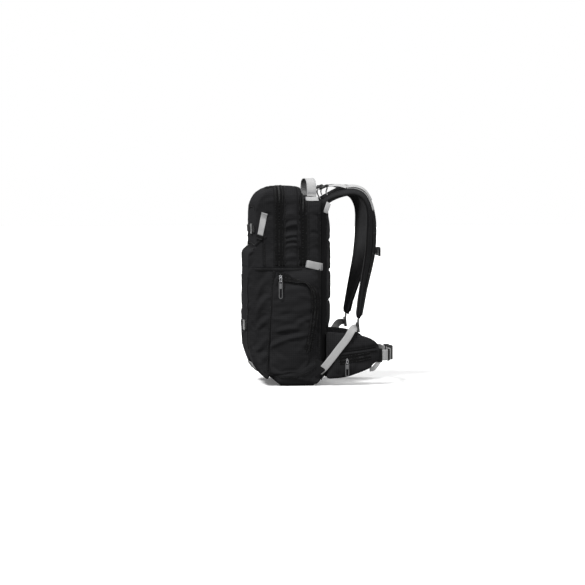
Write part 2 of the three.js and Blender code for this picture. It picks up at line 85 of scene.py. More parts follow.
# ---------------------------------------------------------------- materials
class Shader:
    """A material's node tree, with short calls to add and link nodes."""

    def __init__(self, name):
        self.material = bpy.data.materials.new(name)
        self.material.use_nodes = True
        self.tree = self.material.node_tree
        self.bsdf = self.tree.nodes["Principled BSDF"]
        self.coords = self.tree.nodes.new("ShaderNodeTexCoord")

    def add(self, kind, inputs=None, **settings):
        made = self.tree.nodes.new("ShaderNode" + kind)
        for key, value in settings.items():
            setattr(made, key, value)
        for key, value in (inputs or {}).items():
            self.put(made.inputs[key], value)
        return made

    def put(self, socket, value):
        if isinstance(value, bpy.types.NodeSocket):
            self.tree.links.new(value, socket)
        else:
            socket.default_value = value

    def math(self, operation, a, b=0.0, clamp=False):
        made = self.add("Math", {0: a, 1: b}, operation=operation)
        made.use_clamp = clamp
        return made.outputs[0]

    def noise(self, scale, detail=3.0, vector=None, roughness=0.5):
        source = vector or self.coords.outputs["Object"]
        inputs = {"Vector": source, "Scale": scale, "Detail": detail, "Roughness": roughness}
        return self.add("TexNoise", inputs).outputs[0]

    def remap(self, value, low, high, to_low, to_high):
        inputs = {"Value": value, "From Min": low, "From Max": high, "To Min": to_low, "To Max": to_high}
        return self.add("MapRange", inputs).outputs[0]

    def blend(self, factor, colour_a, colour_b):
        made = self.add("Mix", data_type="RGBA")
        self.put(made.inputs[0], factor)
        self.put(made.inputs[6], colour_a)
        self.put(made.inputs[7], colour_b)
        return made.outputs[2]

    def bump(self, height, distance, strength=1.0, below=None):
        inputs = {"Height": height, "Distance": distance, "Strength": strength}
        if below is not None:
            inputs["Normal"] = below
        return self.add("Bump", inputs).outputs[0]

    def uniform(self, values):
        for key, value in values.items():
            self.bsdf.inputs[key].default_value = value

    def finish(self, colour, roughness, normal=None):
        self.put(self.bsdf.inputs["Base Color"], colour)
        self.put(self.bsdf.inputs["Roughness"], roughness)
        if normal is not None:
            self.put(self.bsdf.inputs["Normal"], normal)
        return self.material


def grey(value, tint=0.0):
    return (value, value, value * (1 + tint), 1.0)


def thread_lines(shader, pitch, share):
    """1 on the lines of a 3-D grid, seen only on faces that the lines cross."""
    place = shader.add("SeparateXYZ", {0: shader.coords.outputs["Object"]})
    facing = shader.add("SeparateXYZ", {0: shader.coords.outputs["Normal"]})
    total = None
    for axis in range(3):
        phase = shader.math("FRACT", shader.math("DIVIDE", place.outputs[axis], pitch))
        centred = shader.math("ABSOLUTE", shader.math("SUBTRACT", phase, 0.5))
        line = shader.remap(centred, 0.5 - share, 0.5 - share * 0.4, 0.0, 1.0)
        side_on = shader.math("ABSOLUTE", facing.outputs[axis])
        seen = shader.math("MULTIPLY", line, shader.remap(side_on, 0.45, 0.75, 1.0, 0.0))
        total = seen if total is None else shader.math("MAXIMUM", total, seen)
    return total


def fabric(name, value, tint, roughness, rib_pitch, rib_height, sheen):
    """Woven nylon: fine threads, a raised ripstop grid, patches of wear and a soft sheen. The grid lines are
    also painted lighter, a painted sheen on their threads.
    """
    shader = Shader(name)
    ribs = thread_lines(shader, rib_pitch, 0.12)
    threads = thread_lines(shader, 0.0007, 0.3)
    patches = shader.noise(9.0, 4.0)
    scuffs = shader.noise(120.0, 3.0)
    worn = shader.remap(patches, 0.42, 0.68, 0.0, 0.5)
    base = shader.blend(worn, grey(value, tint), grey(value * 1.7, tint))
    # The grid lines are painted lighter here: painted sheen on the ripstop threads.
    colour = shader.blend(shader.math("MULTIPLY", ribs, 0.35), base, grey(value * 2.4, tint))
    rough = shader.remap(scuffs, 0.3, 0.7, roughness - 0.07, roughness + 0.07)
    crumple = shader.bump(shader.noise(70.0, 5.0), 0.0009, 0.5)
    normal = shader.bump(threads, 0.00008, 0.5, crumple)
    normal = shader.bump(ribs, rib_height, 0.6, normal)
    shader.uniform({"Sheen Weight": sheen, "Sheen Roughness": 0.45, "Sheen Tint": grey(0.75, tint)})
    shader.uniform({"Specular IOR Level": 0.0})
    return shader.finish(colour, rough, normal)


def spacer_mesh(name, value):
    """Knitted air mesh: rows of small open cells, each painted dark inside as painted shade."""
    shader = Shader(name)
    cells = shader.add(
        "TexVoronoi", {"Vector": shader.coords.outputs["Object"], "Scale": 330.0, "Randomness": 0.25}
    )
    hole = shader.remap(cells.outputs["Distance"], 0.16, 0.42, 0.0, 1.0)
    # The cell centres are painted a quarter as bright: painted shade in the open cells.
    colour = shader.blend(hole, grey(value * 0.25), grey(value, 0.04))
    patches = shader.noise(14.0, 3.0)
    colour = shader.blend(shader.remap(patches, 0.4, 0.7, 0.0, 0.35), colour, grey(value * 1.6, 0.04))
    normal = shader.bump(hole, 0.0009, 0.8, shader.bump(shader.noise(45.0, 3.0), 0.0012, 0.35))
    shader.uniform({"Sheen Weight": 0.03, "Sheen Roughness": 0.5, "Specular IOR Level": 0.0})
    return shader.finish(colour, shader.remap(hole, 0.0, 1.0, 0.95, 0.75), normal)


def webbing(name, value, tint, sheen):
    """Ribbed webbing, with painted shade in the grooves between its ribs. Its UV map holds metres: U across
    the strap and V along it.
    """
    shader = Shader(name)
    uv = shader.add("SeparateXYZ", {0: shader.coords.outputs["UV"]})
    across = shader.math("MULTIPLY", uv.outputs[0], 2 * math.pi / 0.0026)
    along = shader.math("MULTIPLY", uv.outputs[1], 2 * math.pi / 0.0011)
    rows = shader.math("ABSOLUTE", shader.math("SINE", shader.math("MULTIPLY", across, 0.5)))
    shifted = shader.math("ADD", along, across)
    picks = shader.math("ABSOLUTE", shader.math("SINE", shader.math("MULTIPLY", shifted, 0.5)))
    weave = shader.math("MULTIPLY", rows, shader.remap(picks, 0.0, 1.0, 0.45, 1.0))
    patches = shader.noise(30.0, 4.0)
    fuzz = shader.noise(1400.0, 2.0)
    groove_shade = grey(value * 0.6, tint)
    # The low parts of the weave are painted darker: painted shade in the grooves between the ribs.
    colour = shader.blend(shader.remap(weave, 0.05, 0.7, 0.0, 1.0), groove_shade, grey(value, tint))
    colour = shader.blend(shader.remap(patches, 0.4, 0.7, 0.0, 0.3), colour, grey(value * 0.78, tint))
    normal = shader.bump(weave, 0.00035, 0.8, shader.bump(fuzz, 0.0002, 0.4))
    specular = 0.2 if value > 0.1 else 0.0
    shader.uniform({"Sheen Weight": sheen, "Sheen Roughness": 0.5, "Specular IOR Level": specular})
    return shader.finish(colour, shader.remap(fuzz, 0.3, 0.7, 0.72, 0.88), normal)


def moulded(name, value, roughness, grain=900.0, metallic=0.0, tint=0.03):
    """Moulded plastic or finished metal with a fine grain and faint handling marks."""
    shader = Shader(name)
    pits = shader.noise(grain, 3.0)
    marks = shader.noise(60.0, 5.0)
    worn = shader.remap(marks, 0.45, 0.75, 0.0, 0.5)
    colour = shader.blend(worn, grey(value, tint), grey(value * 1.5, tint))
    rough = shader.remap(marks, 0.3, 0.7, roughness - 0.08, roughness + 0.1)
    normal = shader.bump(pits, 0.00012, 0.5)
    shader.uniform({"Metallic": metallic, "Specular IOR Level": 0.25})
    return shader.finish(colour, rough, normal)


RIPSTOP = fabric("ripstop", 0.0135, 0.05, 0.55, 0.0052, 0.00012, 0.025)
PACKCLOTH = fabric("packcloth", 0.0100, 0.04, 0.62, 0.0016, 0.00015, 0.025)
BINDING = fabric("binding_tape", 0.0075, 0.03, 0.6, 0.0011, 0.0001, 0.03)
LINING = fabric("lining", 0.09, 0.06, 0.6, 0.004, 0.0001, 0.15)
AIR_MESH = spacer_mesh("air_mesh", 0.030)
GREY_WEBBING = webbing("grey_webbing", 0.42, 0.0, 0.05)
# A darker copy of the grey webbing for the handle's lining: painted shade on the handle's inner face.
SHADED_GREY_WEBBING = webbing("grey_webbing_painted_shade", 0.30, 0.0, 0.05)
BLACK_WEBBING = webbing("black_webbing", 0.011, 0.03, 0.05)
ZIP_TAPE = webbing("zip_tape", 0.0095, 0.02, 0.02)
GREY_THREAD = moulded("grey_thread", 0.3, 0.7, 2500.0)
BLACK_THREAD = moulded("black_thread", 0.016, 0.65, 2500.0)
COIL = moulded("zip_coil", 0.008, 0.55, 2000.0)
ACETAL = moulded("acetal", 0.012, 0.38)
GUNMETAL = moulded("gunmetal", 0.30, 0.3, 1500.0, 0.9)
CORD = webbing("pull_cord", 0.16, 0.02, 0.1)
PULL_GREY = moulded("pull_grey", 0.11, 0.4)
SHEET_PLASTIC = moulded("frame_sheet", 0.05, 0.45)
STAY_METAL = moulded("satin_aluminium", 0.6, 0.32, 1500.0, 1.0, 0.02)


# ---------------------------------------------------------------- mesh helpers
def new_object(name, mesh, *materials):
    obj = bpy.data.objects.new(name, mesh)
    bpy.context.scene.collection.objects.link(obj)
    for material in materials:
        mesh.materials.append(material)
    return obj


def mesh_from(name, verts, faces, uvs=None, smooth=True):
    mesh = bpy.data.meshes.new(name)
    mesh.from_pydata([tuple(v) for v in verts], [], faces)
    mesh.polygons.foreach_set("use_smooth", [smooth] * len(mesh.polygons))
    if uvs is not None:
        layer = mesh.uv_layers.new(name="UVMap")
        flat = [c for face in mesh.polygons for i in face.vertices for c in uvs[i]]
        layer.data.foreach_set("uv", flat)
    mesh.update()
    return mesh


def baked(name, bm):
    """A mesh from bm, which is freed."""
    mesh = bpy.data.meshes.new(name)
    bm.to_mesh(mesh)
    bm.free()
    return mesh


def quads(rows, columns, around=True, wrap=False):
    """Faces of a grid of vertices numbered row by row. around closes each row; wrap joins the last row to
    the first."""
    faces = []
    for r in range(rows if wrap else rows - 1):
        low, high = r * columns, (r + 1) % rows * columns
        for c in range(columns if around else columns - 1):
            ahead = (c + 1) % columns
            faces.append((low + c, low + ahead, high + ahead, high + c))
    return faces


def turned(faces):
    return [face[:1] + face[:0:-1] for face in faces]


def repeated(vector, count):
    return np.repeat([vector], count, axis=0)


def piece(name, mesh, body, slot, *materials):
    obj = new_object(name, mesh, *materials)
    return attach(obj, body)


def apply_modifiers(obj):
    graph = bpy.context.evaluated_depsgraph_get()
    done = bpy.data.meshes.new_from_object(obj.evaluated_get(graph))
    obj.modifiers.clear()
    obj.data = done
    return obj


def thicken(obj, thickness):
    """Gives an open sheet this thickness, half on each side."""
    step = obj.modifiers.new("thickness", "SOLIDIFY")
    step.thickness = thickness
    step.offset = 0.0
    return apply_modifiers(obj)


def read_verts(mesh, what):
    flat = np.empty(len(mesh.vertices) * 3)
    mesh.vertices.foreach_get(what, flat)
    return flat.reshape(-1, 3)


def verts_of(mesh):
    return read_verts(mesh, "co")


def normals_of(mesh):
    return read_verts(mesh, "normal")


def set_verts(mesh, co):
    mesh.vertices.foreach_set("co", np.ascontiguousarray(co, dtype=np.float64).ravel())
    mesh.update()


def hull_of(bm, node, keep=lambda co: True):
    """Adds the convex hull of the CAD node's vertices that keep() accepts."""
    spots = [v.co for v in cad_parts[node].data.vertices if keep(v.co)]
    made = [bm.verts.new(co) for co in spots]
    result = bmesh.ops.convex_hull(bm, input=made)
    inside = [v for v in result["geom_interior"] if isinstance(v, bmesh.types.BMVert)]
    bmesh.ops.delete(bm, geom=inside, context="VERTS")


def remeshed(name, hulls, voxel, smoothing, shrink=0.0):
    """One closed skin of even quads around the hulls of CAD nodes."""
    bm = bmesh.new()
    for node, keep in hulls:
        hull_of(bm, node, keep)
    obj = new_object(name, baked(name, bm))
    step = obj.modifiers.new("voxels", "REMESH")
    step.mode = "VOXEL"
    step.voxel_size = voxel
    apply_modifiers(obj)
    bm = bmesh.new()
    bm.from_mesh(obj.data)
    axes = {"use_axis_x": True, "use_axis_y": True, "use_axis_z": True}
    for _ in range(smoothing):
        bmesh.ops.smooth_vert(bm, verts=bm.verts, factor=0.5, **axes)
    bm.normal_update()
    for v in bm.verts:
        v.co -= v.normal * shrink
    bm.to_mesh(obj.data)
    bm.free()
    return obj


CLOTH_FRAMES = 20
CLOTH_STIFFNESS = 12.0


def inflate(obj, pinned, cap=0.008):
    """Blows the skin up as cloth, with the pinned vertices held, and applies the result. No point
    moves further than cap, in metres."""
    start = verts_of(obj.data)
    group = obj.vertex_groups.new(name="held")
    group.add([int(i) for i in np.nonzero(pinned)[0]], 1.0, "REPLACE")
    cloth = obj.modifiers.new("cloth", "CLOTH")
    settings = cloth.settings
    settings.use_pressure = True
    settings.uniform_pressure_force = 4.0
    settings.shrink_min = -0.02
    settings.tension_stiffness = CLOTH_STIFFNESS
    settings.compression_stiffness = CLOTH_STIFFNESS
    settings.bending_stiffness = 0.4
    settings.effector_weights.gravity = 0.0
    settings.quality = 4
    settings.vertex_group_mass = "held"
    settings.pin_stiffness = 1.0
    cloth.collision_settings.use_self_collision = False
    cloth.point_cache.frame_end = CLOTH_FRAMES
    for at in range(1, CLOTH_FRAMES + 1):
        bpy.context.scene.frame_set(at)
    apply_modifiers(obj)
    bpy.context.scene.frame_set(1)
    obj.vertex_groups.clear()
    moved = verts_of(obj.data) - start
    far = np.linalg.norm(moved, axis=1, keepdims=True)
    moved *= np.minimum(1.0, cap / np.maximum(far, 1e-9))
    set_verts(obj.data, start + moved)
    return obj


def subdivide(obj, levels=1):
    step = obj.modifiers.new("smooth", "SUBSURF")
    step.levels = levels
    step.render_levels = levels
    return apply_modifiers(obj)


def shade_smooth(mesh):
    mesh.polygons.foreach_set("use_smooth", [True] * len(mesh.polygons))
    mesh.update()


def smoothstep(low, high, value):
    t = np.clip((value - low) / (high - low), 0, 1)
    return t * t * (3 - 2 * t)


def crease_field(u, v, creases):
    """Sum of soft folds in the (u, v) plane: each is (start, end, height, width)."""
    total = np.zeros(len(u))
    for (u0, v0), (u1, v1), height, width in creases:
        du, dv = u1 - u0, v1 - v0
        length = math.hypot(du, dv)
        along = ((u - u0) * du + (v - v0) * dv) / length
        off = ((u - u0) * -dv + (v - v0) * du) / length
        bow = 0.06 * length * np.sin(np.pi * np.clip(along / length, 0, 1))
        across = (off - bow) / width
        ends = smoothstep(-0.25 * length, 0.2 * length, along)
        ends *= smoothstep(1.25 * length, 0.8 * length, along)
        total += height * ends * (np.exp(-across * across) - 0.6 * np.exp(-((across - 1.6) ** 2)))
    return total


def in_metres(creases):
    """Creases given in millimetres."""
    return [[tuple(c * MM for c in a), tuple(c * MM for c in b), h * MM, w * MM] for a, b, h, w in creases]


def noise_field(co, scale, seed):
    shift = Vector((seed * 7.31, seed * 3.17, seed * 5.73))
    return np.array([noise.noise(Vector(p) * scale + shift) for p in co])


# ---------------------------------------------------------------- bag skin
PROUD_Z = 0.376  # the lower part of the front flap stands proud up to this height
UPPER_FRONT_Y = -0.0945  # and its upper part lies behind this plane
BAG_HULLS = (
    ("main_shell", lambda co: co.z < SPLIT_Z + MM),
    ("main_shell", lambda co: co.y > MAIN_ZIP_Y - MM),
    ("front_pocket", lambda co: True),
    ("main_flap", lambda co: True),
    ("front_flap", lambda co: co.y > UPPER_FRONT_Y),
    ("front_flap", lambda co: co.z < PROUD_Z),
)


def front_seam_y(z):
    """Y of the seam between the side panel and the front pocket."""
    return -0.052 - 0.012 * (0.325 - z) / 0.265


def bag_pins(co):
    """The vertices on sewn edges, zips and the framed back, which don't inflate."""
    _, y, z = co.T
    band = 0.0045
    above = z > SPLIT_Z - band
    pinned = above & (abs(y - FLAP_ZIP_Y) < band)
    pinned |= above & (abs(y - MAIN_ZIP_Y) < band)
    pinned |= (abs(z - SPLIT_Z) < band) & (y > FLAP_ZIP_Y) & (y < BACK_Y)
    pinned |= (z < SPLIT_Z) & (abs(y - front_seam_y(z)) < band)
    pinned |= y > BACK_Y - 0.010
    pinned |= z < 0.012
    pinned |= (z > 0.515) & (z < 0.528) & (y > MAIN_ZIP_Y - band)
    return pinned


SIDE_CREASES = [
    # (y, z) start and end, height and width, in millimetres: gusset folds above the pocket
    ((-24, 437), (8, 446), 4.4, 6),
    ((-24, 410), (8, 416), 4.0, 5.5),
    ((-24, 397), (8, 402), 3.4, 5),
    ((-24, 382), (8, 387), 3.0, 5),
    ((-24, 470), (8, 474), 1.8, 7),
    ((-24, 353), (8, 356), 2.0, 6),
    # front pocket side folds
    ((-106, 190), (-66, 250), 5.4, 8),
    ((-106, 144), (-67, 190), 5.0, 7),
    ((-104, 246), (-70, 296), 3.2, 8),
    ((-100, 96), (-69, 132), 3.6, 8),
    ((-108, 300), (-84, 330), 1.4, 9),
    ((-96, 62), (-66, 92), 2.0, 8),
    # front flap side folds
    ((-84, 500), (-50, 512), 1.6, 7),
    ((-74, 440), (-48, 470), 1.2, 8),
    ((-84, 400), (-48, 380), 1.2, 9),
    # rear panel
    ((36, 470), (74, 482), 1.4, 8),
    ((62, 250), (80, 214), 1.4, 6),
    ((60, 150), (80, 110), 1.6, 6),
    ((-40, 26), (30, 18), 1.4, 6),
    ((20, 40), (74, 60), 1.6, 7),
]


def crumple_bag(obj):
    """Folds and small buckles on top of the inflated shape."""
    mesh = obj.data
    co, normal = verts_of(mesh), normals_of(mesh)
    x, y, z = co.T
    side = smoothstep(0.6, 0.9, abs(normal[:, 0]))
    drop = np.where(x > 0, 0.0, 0.006)  # the folds sit lower on the left, so the sides aren't mirror images
    lift = side * crease_field(y, z + drop, in_metres(SIDE_CREASES))
    front = smoothstep(0.6, 0.9, -normal[:, 1])
    across = [
        ((-90, 92), (60, 112), 1.8, 12),
        ((-60, 246), (96, 262), 1.2, 14),
        ((-84, 356), (70, 350), 1.4, 12),
        ((-70, 460), (84, 474), 1.4, 12),
        ((20, 200), (104, 222), 1.2, 10),
        ((-104, 196), (-30, 180), 1.2, 10),
    ]
    lift += front * crease_field(x, z, in_metres(across))
    held = bag_pins(co)
    loose = np.where(held, 0.25, 1.0)
    lift += loose * (0.0011 * noise_field(co, 26.0, 1) + 0.0006 * noise_field(co * [1, 1, 1.8], 70.0, 2))
    set_verts(mesh, co + normal * lift[:, None])


def cut_away(obj, planes):
    """A copy of obj with everything on the positive side of each (point, normal) plane removed."""
    bm = bmesh.new()
    bm.from_mesh(obj.data)
    for point, normal in planes:
        geom = list(bm.verts) + list(bm.edges) + list(bm.faces)
        bmesh.ops.bisect_plane(bm, geom=geom, plane_co=point, plane_no=normal, clear_outer=True)
    return bm


def joined(*parts):
    """One bmesh from several, with coincident vertices merged."""
    mesh = bpy.data.meshes.new("joined")
    whole = bmesh.new()
    for part in parts:
        part.to_mesh(mesh)
        whole.from_mesh(mesh)
        part.free()
    bmesh.ops.remove_doubles(whole, verts=whole.verts, dist=0.00002)
    bpy.data.meshes.remove(mesh)
    return whole


def as_panel(name, bm, body, thickness, *replaced):
    """A fabric panel from an open skin: thickened inwards, with lining on the inside. It holds the outer
    walls only, and no inner wall of the CAD solids that it replaces."""
    obj = new_object(name, baked(name, bm), RIPSTOP, LINING)
    thick = obj.modifiers.new("thickness", "SOLIDIFY")
    thick.thickness = thickness
    thick.offset = -1.0
    thick.material_offset = 1
    apply_modifiers(obj)
    shade_smooth(obj.data)
    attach(obj, body)
    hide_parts(*replaced)
    return obj


UP, FRONT, REAR = Vector((0, 0, 1)), Vector((0, -1, 0)), Vector((0, 1, 0))
SEAM_GAP = 0.00025  # on each side of the level where the flaps part from the lower bag
MAIN_SEAM_Y = MAIN_ZIP_Y + 1.2 * MM
WALL = 0.003


def build_bag():
    skin = remeshed("bag_skin", BAG_HULLS, 0.005, 3)
    inflate(skin, bag_pins(verts_of(skin.data)))
    subdivide(skin)
    crumple_bag(skin)
    split = Vector((0, 0, SPLIT_Z))
    zip_front = Vector((0, FLAP_ZIP_Y, 0))
    zip_main = Vector((0, MAIN_SEAM_Y, 0))
    low = cut_away(skin, [(split - UP * SEAM_GAP, UP)])
    rear = cut_away(skin, [(split - UP * SEAM_GAP, -UP), (zip_main, FRONT)])
    middle = cut_away(skin, [(split + UP * SEAM_GAP, -UP), (zip_main, REAR), (zip_front, FRONT)])
    flap = cut_away(skin, [(split + UP * SEAM_GAP, -UP), (zip_front, REAR)])
    surface = BVHTree.FromObject(skin, bpy.context.evaluated_depsgraph_get())
    bpy.data.objects.remove(skin)
    as_panel("bag_body", joined(low, rear), "pack", WALL, "main_shell", "front_pocket")
    as_panel("bag_middle", middle, "main_flap", WALL, "main_flap")
    as_panel("bag_front_flap", flap, "front_flap", WALL, "front_flap")
    return surface


SKIN = build_bag()


# ---------------------------------------------------------------- paths and sweeps
def unit(rows):
    rows = np.asarray(rows, dtype=float)
    return rows / np.maximum(np.linalg.norm(rows, axis=-1, keepdims=True), 1e-12)


def even_points(dense, count):
    steps = np.linalg.norm(np.diff(dense, axis=0), axis=1)
    along = np.concatenate([[0], np.cumsum(steps)])
    wanted = np.linspace(0, along[-1], count)
    return np.stack([np.interp(wanted, along, dense[:, k]) for k in range(dense.shape[1])], axis=1)


def smooth_path(points, count):
    """Even points along a centripetal Catmull-Rom curve through the given ones."""
    pts = np.array(points, dtype=float)
    pts = np.vstack([2 * pts[0] - pts[1], pts, 2 * pts[-1] - pts[-2]])
    t = np.linspace(0, 1, 24, endpoint=False)[:, None]
    dense = []
    for p0, p1, p2, p3 in zip(pts, pts[1:], pts[2:], pts[3:]):
        d0, d1, d2 = (math.sqrt(np.linalg.norm(b - a)) for a, b in ((p0, p1), (p1, p2), (p2, p3)))
        m1 = ((p1 - p0) / d0 - (p2 - p0) / (d0 + d1) + (p2 - p1) / d1) * d1
        m2 = ((p2 - p1) / d1 - (p3 - p1) / (d1 + d2) + (p3 - p2) / d2) * d1
        h1, h2 = 2 * t**3 - 3 * t**2 + 1, -2 * t**3 + 3 * t**2
        dense.append(h1 * p1 + (t**3 - 2 * t**2 + t) * m1 + h2 * p2 + (t**3 - t**2) * m2)
    return even_points(np.vstack(dense + [pts[-2:-1]]), count)


def frames_of(path, out):
    """Unit tangents, sides and outward vectors along a path."""
    tangent = unit(np.gradient(path, axis=0))
    out = unit(out - tangent * np.sum(out * tangent, axis=1, keepdims=True))
    return tangent, np.cross(tangent, out), out


def lengths_along(path):
    return np.concatenate([[0], np.cumsum(np.linalg.norm(np.diff(path, axis=0), axis=1))])


def sweep(name, path, out, section):
    """Closed mesh of a section carried along a path. The section lists (across, out) in metres, or is
    a function of the share of the path. UVs hold metres across and along."""
    _, side, out = frames_of(path, out)
    along = lengths_along(path)
    verts, uvs = [], []
    for place, s, o, far in zip(path, side, out, along):
        ring = section(far / along[-1]) if callable(section) else section
        verts.extend(place + s * a + o * b for a, b in ring)
        uvs.extend((a, far) for a, _ in ring)
    count = len(ring)
    faces = quads(len(path), count)
    faces.append(tuple(range(count))[::-1])
    faces.append(tuple(range((len(path) - 1) * count, len(path) * count)))
    mesh = mesh_from(name, verts, faces, uvs)
    face_outwards(mesh)
    return mesh


def face_outwards(mesh):
    bm = bmesh.new()
    bm.from_mesh(mesh)
    bmesh.ops.recalc_face_normals(bm, faces=bm.faces)
    bm.to_mesh(mesh)
    bm.free()


def tape_section(width, thickness, lift=0.0, crown=0.0):
    """Flat strip with rounded edges whose underside stands `lift` above the path."""
    half, radius = width / 2, thickness / 2
    angles = np.linspace(-math.pi / 2, math.pi / 2, 5)
    right = [(half - radius + radius * math.cos(a), radius + radius * math.sin(a)) for a in angles]
    across = np.linspace(half - radius, radius - half, 7)[1:-1]
    top = [(x, thickness) for x in across]
    left = [(-x, y) for x, y in reversed(right)]
    bottom = [(x, 0.0) for x in reversed(across)]
    return [(x, y + lift + crown * (1 - (x / half) ** 2)) for x, y in right + top + left + bottom]


def tube_section(radius, squash=1.0, lift=0.0, sides=10):
    angles = [2 * math.pi * k / sides for k in range(sides)]
    return [(radius * math.cos(a), lift + radius * squash * math.sin(a)) for a in angles]


def instances(name, template, faces, path, out, pitch, across=0.0, lift=0.0, jitter=0.0):
    """One mesh of many copies of a small template along a path. Template axes: along, across, out."""
    count = max(2, int(lengths_along(path)[-1] / pitch))
    both = even_points(np.hstack([path, out]), count)
    places, outward = both[:, :3], both[:, 3:]
    tangent, side, outward = frames_of(places, outward)
    template = np.array(template)
    wobble = np.array([noise.noise(Vector((k * 1.7, 3.1, 0.4))) for k in range(count)]) * jitter
    centre = places + side * (across + wobble)[:, None] + outward * lift
    local = template[None, :, :]
    verts = centre[:, None, :] + tangent[:, None, :] * local[..., 0:1] + side[:, None, :] * local[..., 1:2]
    verts = verts + outward[:, None, :] * local[..., 2:3]
    size = len(template)
    all_faces = [tuple(i * size + k for k in face) for i in range(count) for face in faces]
    mesh = mesh_from(name, verts.reshape(-1, 3), all_faces)
    face_outwards(mesh)
    return mesh


def bead(length, width, height):
    """A low rounded bar: a template for stitches and zip teeth."""
    rings = [(-0.5, 0.35, 0.0), (-0.2, 0.95, 0.5), (0.2, 0.95, 0.5), (0.5, 0.35, 0.0)]
    verts = []
    for at, wide, rise in rings:
        for k in range(6):
            angle = k * math.pi / 3
            y, z = math.cos(angle) * width / 2 * wide, math.sin(angle) * height / 2 * wide
            verts.append((at * length, y, z + rise * height * 0.5))
    return verts, quads(4, 6) + [tuple(range(6)), tuple(range(18, 24))]


STITCH = bead(0.0031, 0.0009, 0.0007)
TOOTH = bead(0.0010, 0.0034, 0.0016)


# ---------------------------------------------------------------- laying things on a skin
def tree_of(obj):
    return BVHTree.FromObject(obj, bpy.context.evaluated_depsgraph_get())


def steady(rows, reach=2):
    """Rows averaged with their neighbours along the path."""
    padded = np.vstack([rows[:1]] * reach + [rows] + [rows[-1:]] * reach)
    return np.mean([padded[k : k + len(rows)] for k in range(2 * reach + 1)], axis=0)


def cast(tree, starts, directions):
    """Where rays meet the skin, with its smoothed normals; rays that miss are left out."""
    hits = [tree.ray_cast(Vector(a), Vector(d)) for a, d in zip(starts, directions)]
    hits = [(hit, normal) for hit, normal, _, _ in hits if hit]
    path = np.array([tuple(hit) for hit, _ in hits])
    normals = np.array([tuple(normal) for _, normal in hits])
    return steady(path, 1), unit(steady(normals, 3))


def on_side(tree, points, sign, count):
    """Path on the right (+1) or left (-1) side through (y, z) points in millimetres."""
    flat = smooth_path([(0, y * MM, z * MM) for y, z in points], count)
    starts = flat + [sign * RAY_START, 0, 0]
    return cast(tree, starts, [(-sign, 0, 0)] * count)


def on_front(tree, points, count):
    """Path on the front face through (x, z) points in millimetres."""
    flat = smooth_path([(x * MM, 0, z * MM) for x, z in points], count)
    return cast(tree, flat + [0, -RAY_START, 0], [(0, 1, 0)] * count)


def evened(path, out, count):
    """A path and its normals at evenly spaced points."""
    both = even_points(np.hstack([path, out]), count)
    return both[:, :3], unit(both[:, 3:])


def over_crown(tree, y, low):
    """Path in the plane y up the right side, over the crown and down the left."""
    up = [(RAY_START, y, z) for z in np.linspace(low, CROWN_Z, 40, endpoint=False)]
    angles = np.linspace(0, math.pi, 120)
    arc = [(RAY_START * math.cos(a), y, CROWN_Z + RAY_START * math.sin(a)) for a in angles]
    down = [(-x, y, z) for x, y, z in reversed(up)]
    inward = [(-1, 0, 0)] * 40 + [(-math.cos(a), 0, -math.sin(a)) for a in angles] + [(1, 0, 0)] * 40
    return evened(*cast(tree, up + arc + down, inward), 150)


def stitch_row(name, path, out, body, across=0.0, lift=0.0002, material=None):
    mesh = instances(name, *STITCH, path, out, 0.0044, across, lift, jitter=0.00015)
    return piece(name, mesh, body, "ripstop", material or BLACK_THREAD)


def seam(name, path, out, body, width=0.009, lift=0.0):
    """A flat-felled seam: a raised fold of fabric with a row of stitches along it."""
    section = tape_section(width, 0.0011, lift, 0.0005)
    fold = piece(name, sweep(name, path, out, section), body, "ripstop", PACKCLOTH)
    stitch_row(name + "_stitches", path, out, body, width * 0.28, lift + 0.0013)
    return fold


def piping(name, path, out, body, radius=0.0019):
    return piece(name, sweep(name, path, out, tube_section(radius, 1.0, 0.0008)), body, "ripstop", BINDING)


TAPE_MIDDLE, TAPE_WIDTH, TAPE_LIFT = 0.0062, 0.0108, 0.0006
TOOTH_PITCH, TOOTH_MIDDLE, TOOTH_LIFT = 0.0019, 0.0010, 0.0014
ZIP_STITCHES, ZIP_STITCH_LIFT = 0.0088, 0.0015


def zip_half(name, path, out, body, sign):
    """Half a coil zip: woven tape, a row of teeth along its inner edge and stitches along its outer edge."""
    centre = path + frames_of(path, out)[1] * (sign * TAPE_MIDDLE)
    strip = sweep(name, centre, out, tape_section(TAPE_WIDTH, 0.0009, TAPE_LIFT))
    tape = piece(name, strip, body, "zip_tape", ZIP_TAPE)
    teeth = instances(name + "_teeth", *TOOTH, path, out, TOOTH_PITCH, sign * TOOTH_MIDDLE, TOOTH_LIFT)
    piece(name + "_teeth", teeth, body, "zip_tape", COIL)
    stitch_row(name + "_stitches", path, out, body, sign * ZIP_STITCHES, ZIP_STITCH_LIFT)
    return tape


def coil_zip(name, path, out, body):
    for side_name, sign in (("a", 1), ("b", -1)):
        yield zip_half(f"{name}_{side_name}", path, out, body, sign)


def patch_of_webbing(name, path, out, body, width, material=None, lift=0.0006, thickness=0.0018, bars=True):
    """Webbing sewn down at both ends with bar tacks."""
    mesh = sweep(name, path, out, tape_section(width, thickness, lift, 0.0002))
    made = piece(name, mesh, body, "grey_webbing", material or GREY_WEBBING)
    if bars:
        thread = GREY_THREAD if material is None else BLACK_THREAD
        for end, at in (("start", 0.06), ("finish", 0.94)):
            bar_tack(f"{name}_{end}_tack", path, out, at, body, width, lift + thickness, thread)
    return made


def bar_tack(name, path, out, share, body, width, lift, material):
    """A dense block of stitches across webbing."""
    _, side, outward = frames_of(path, out)
    at = int(share * (len(path) - 1))
    half = width * 0.4
    line = np.array([path[at] + side[at] * a for a in np.linspace(-half, half, 8)])
    normals = repeated(outward[at], 8)
    verts, faces = bead(0.0009, 0.0042, 0.0008)
    mesh = instances(name, verts, faces, line, normals, 0.0011, 0.0, lift - 0.0001)
    return piece(name, mesh, body, "grey_webbing", material)


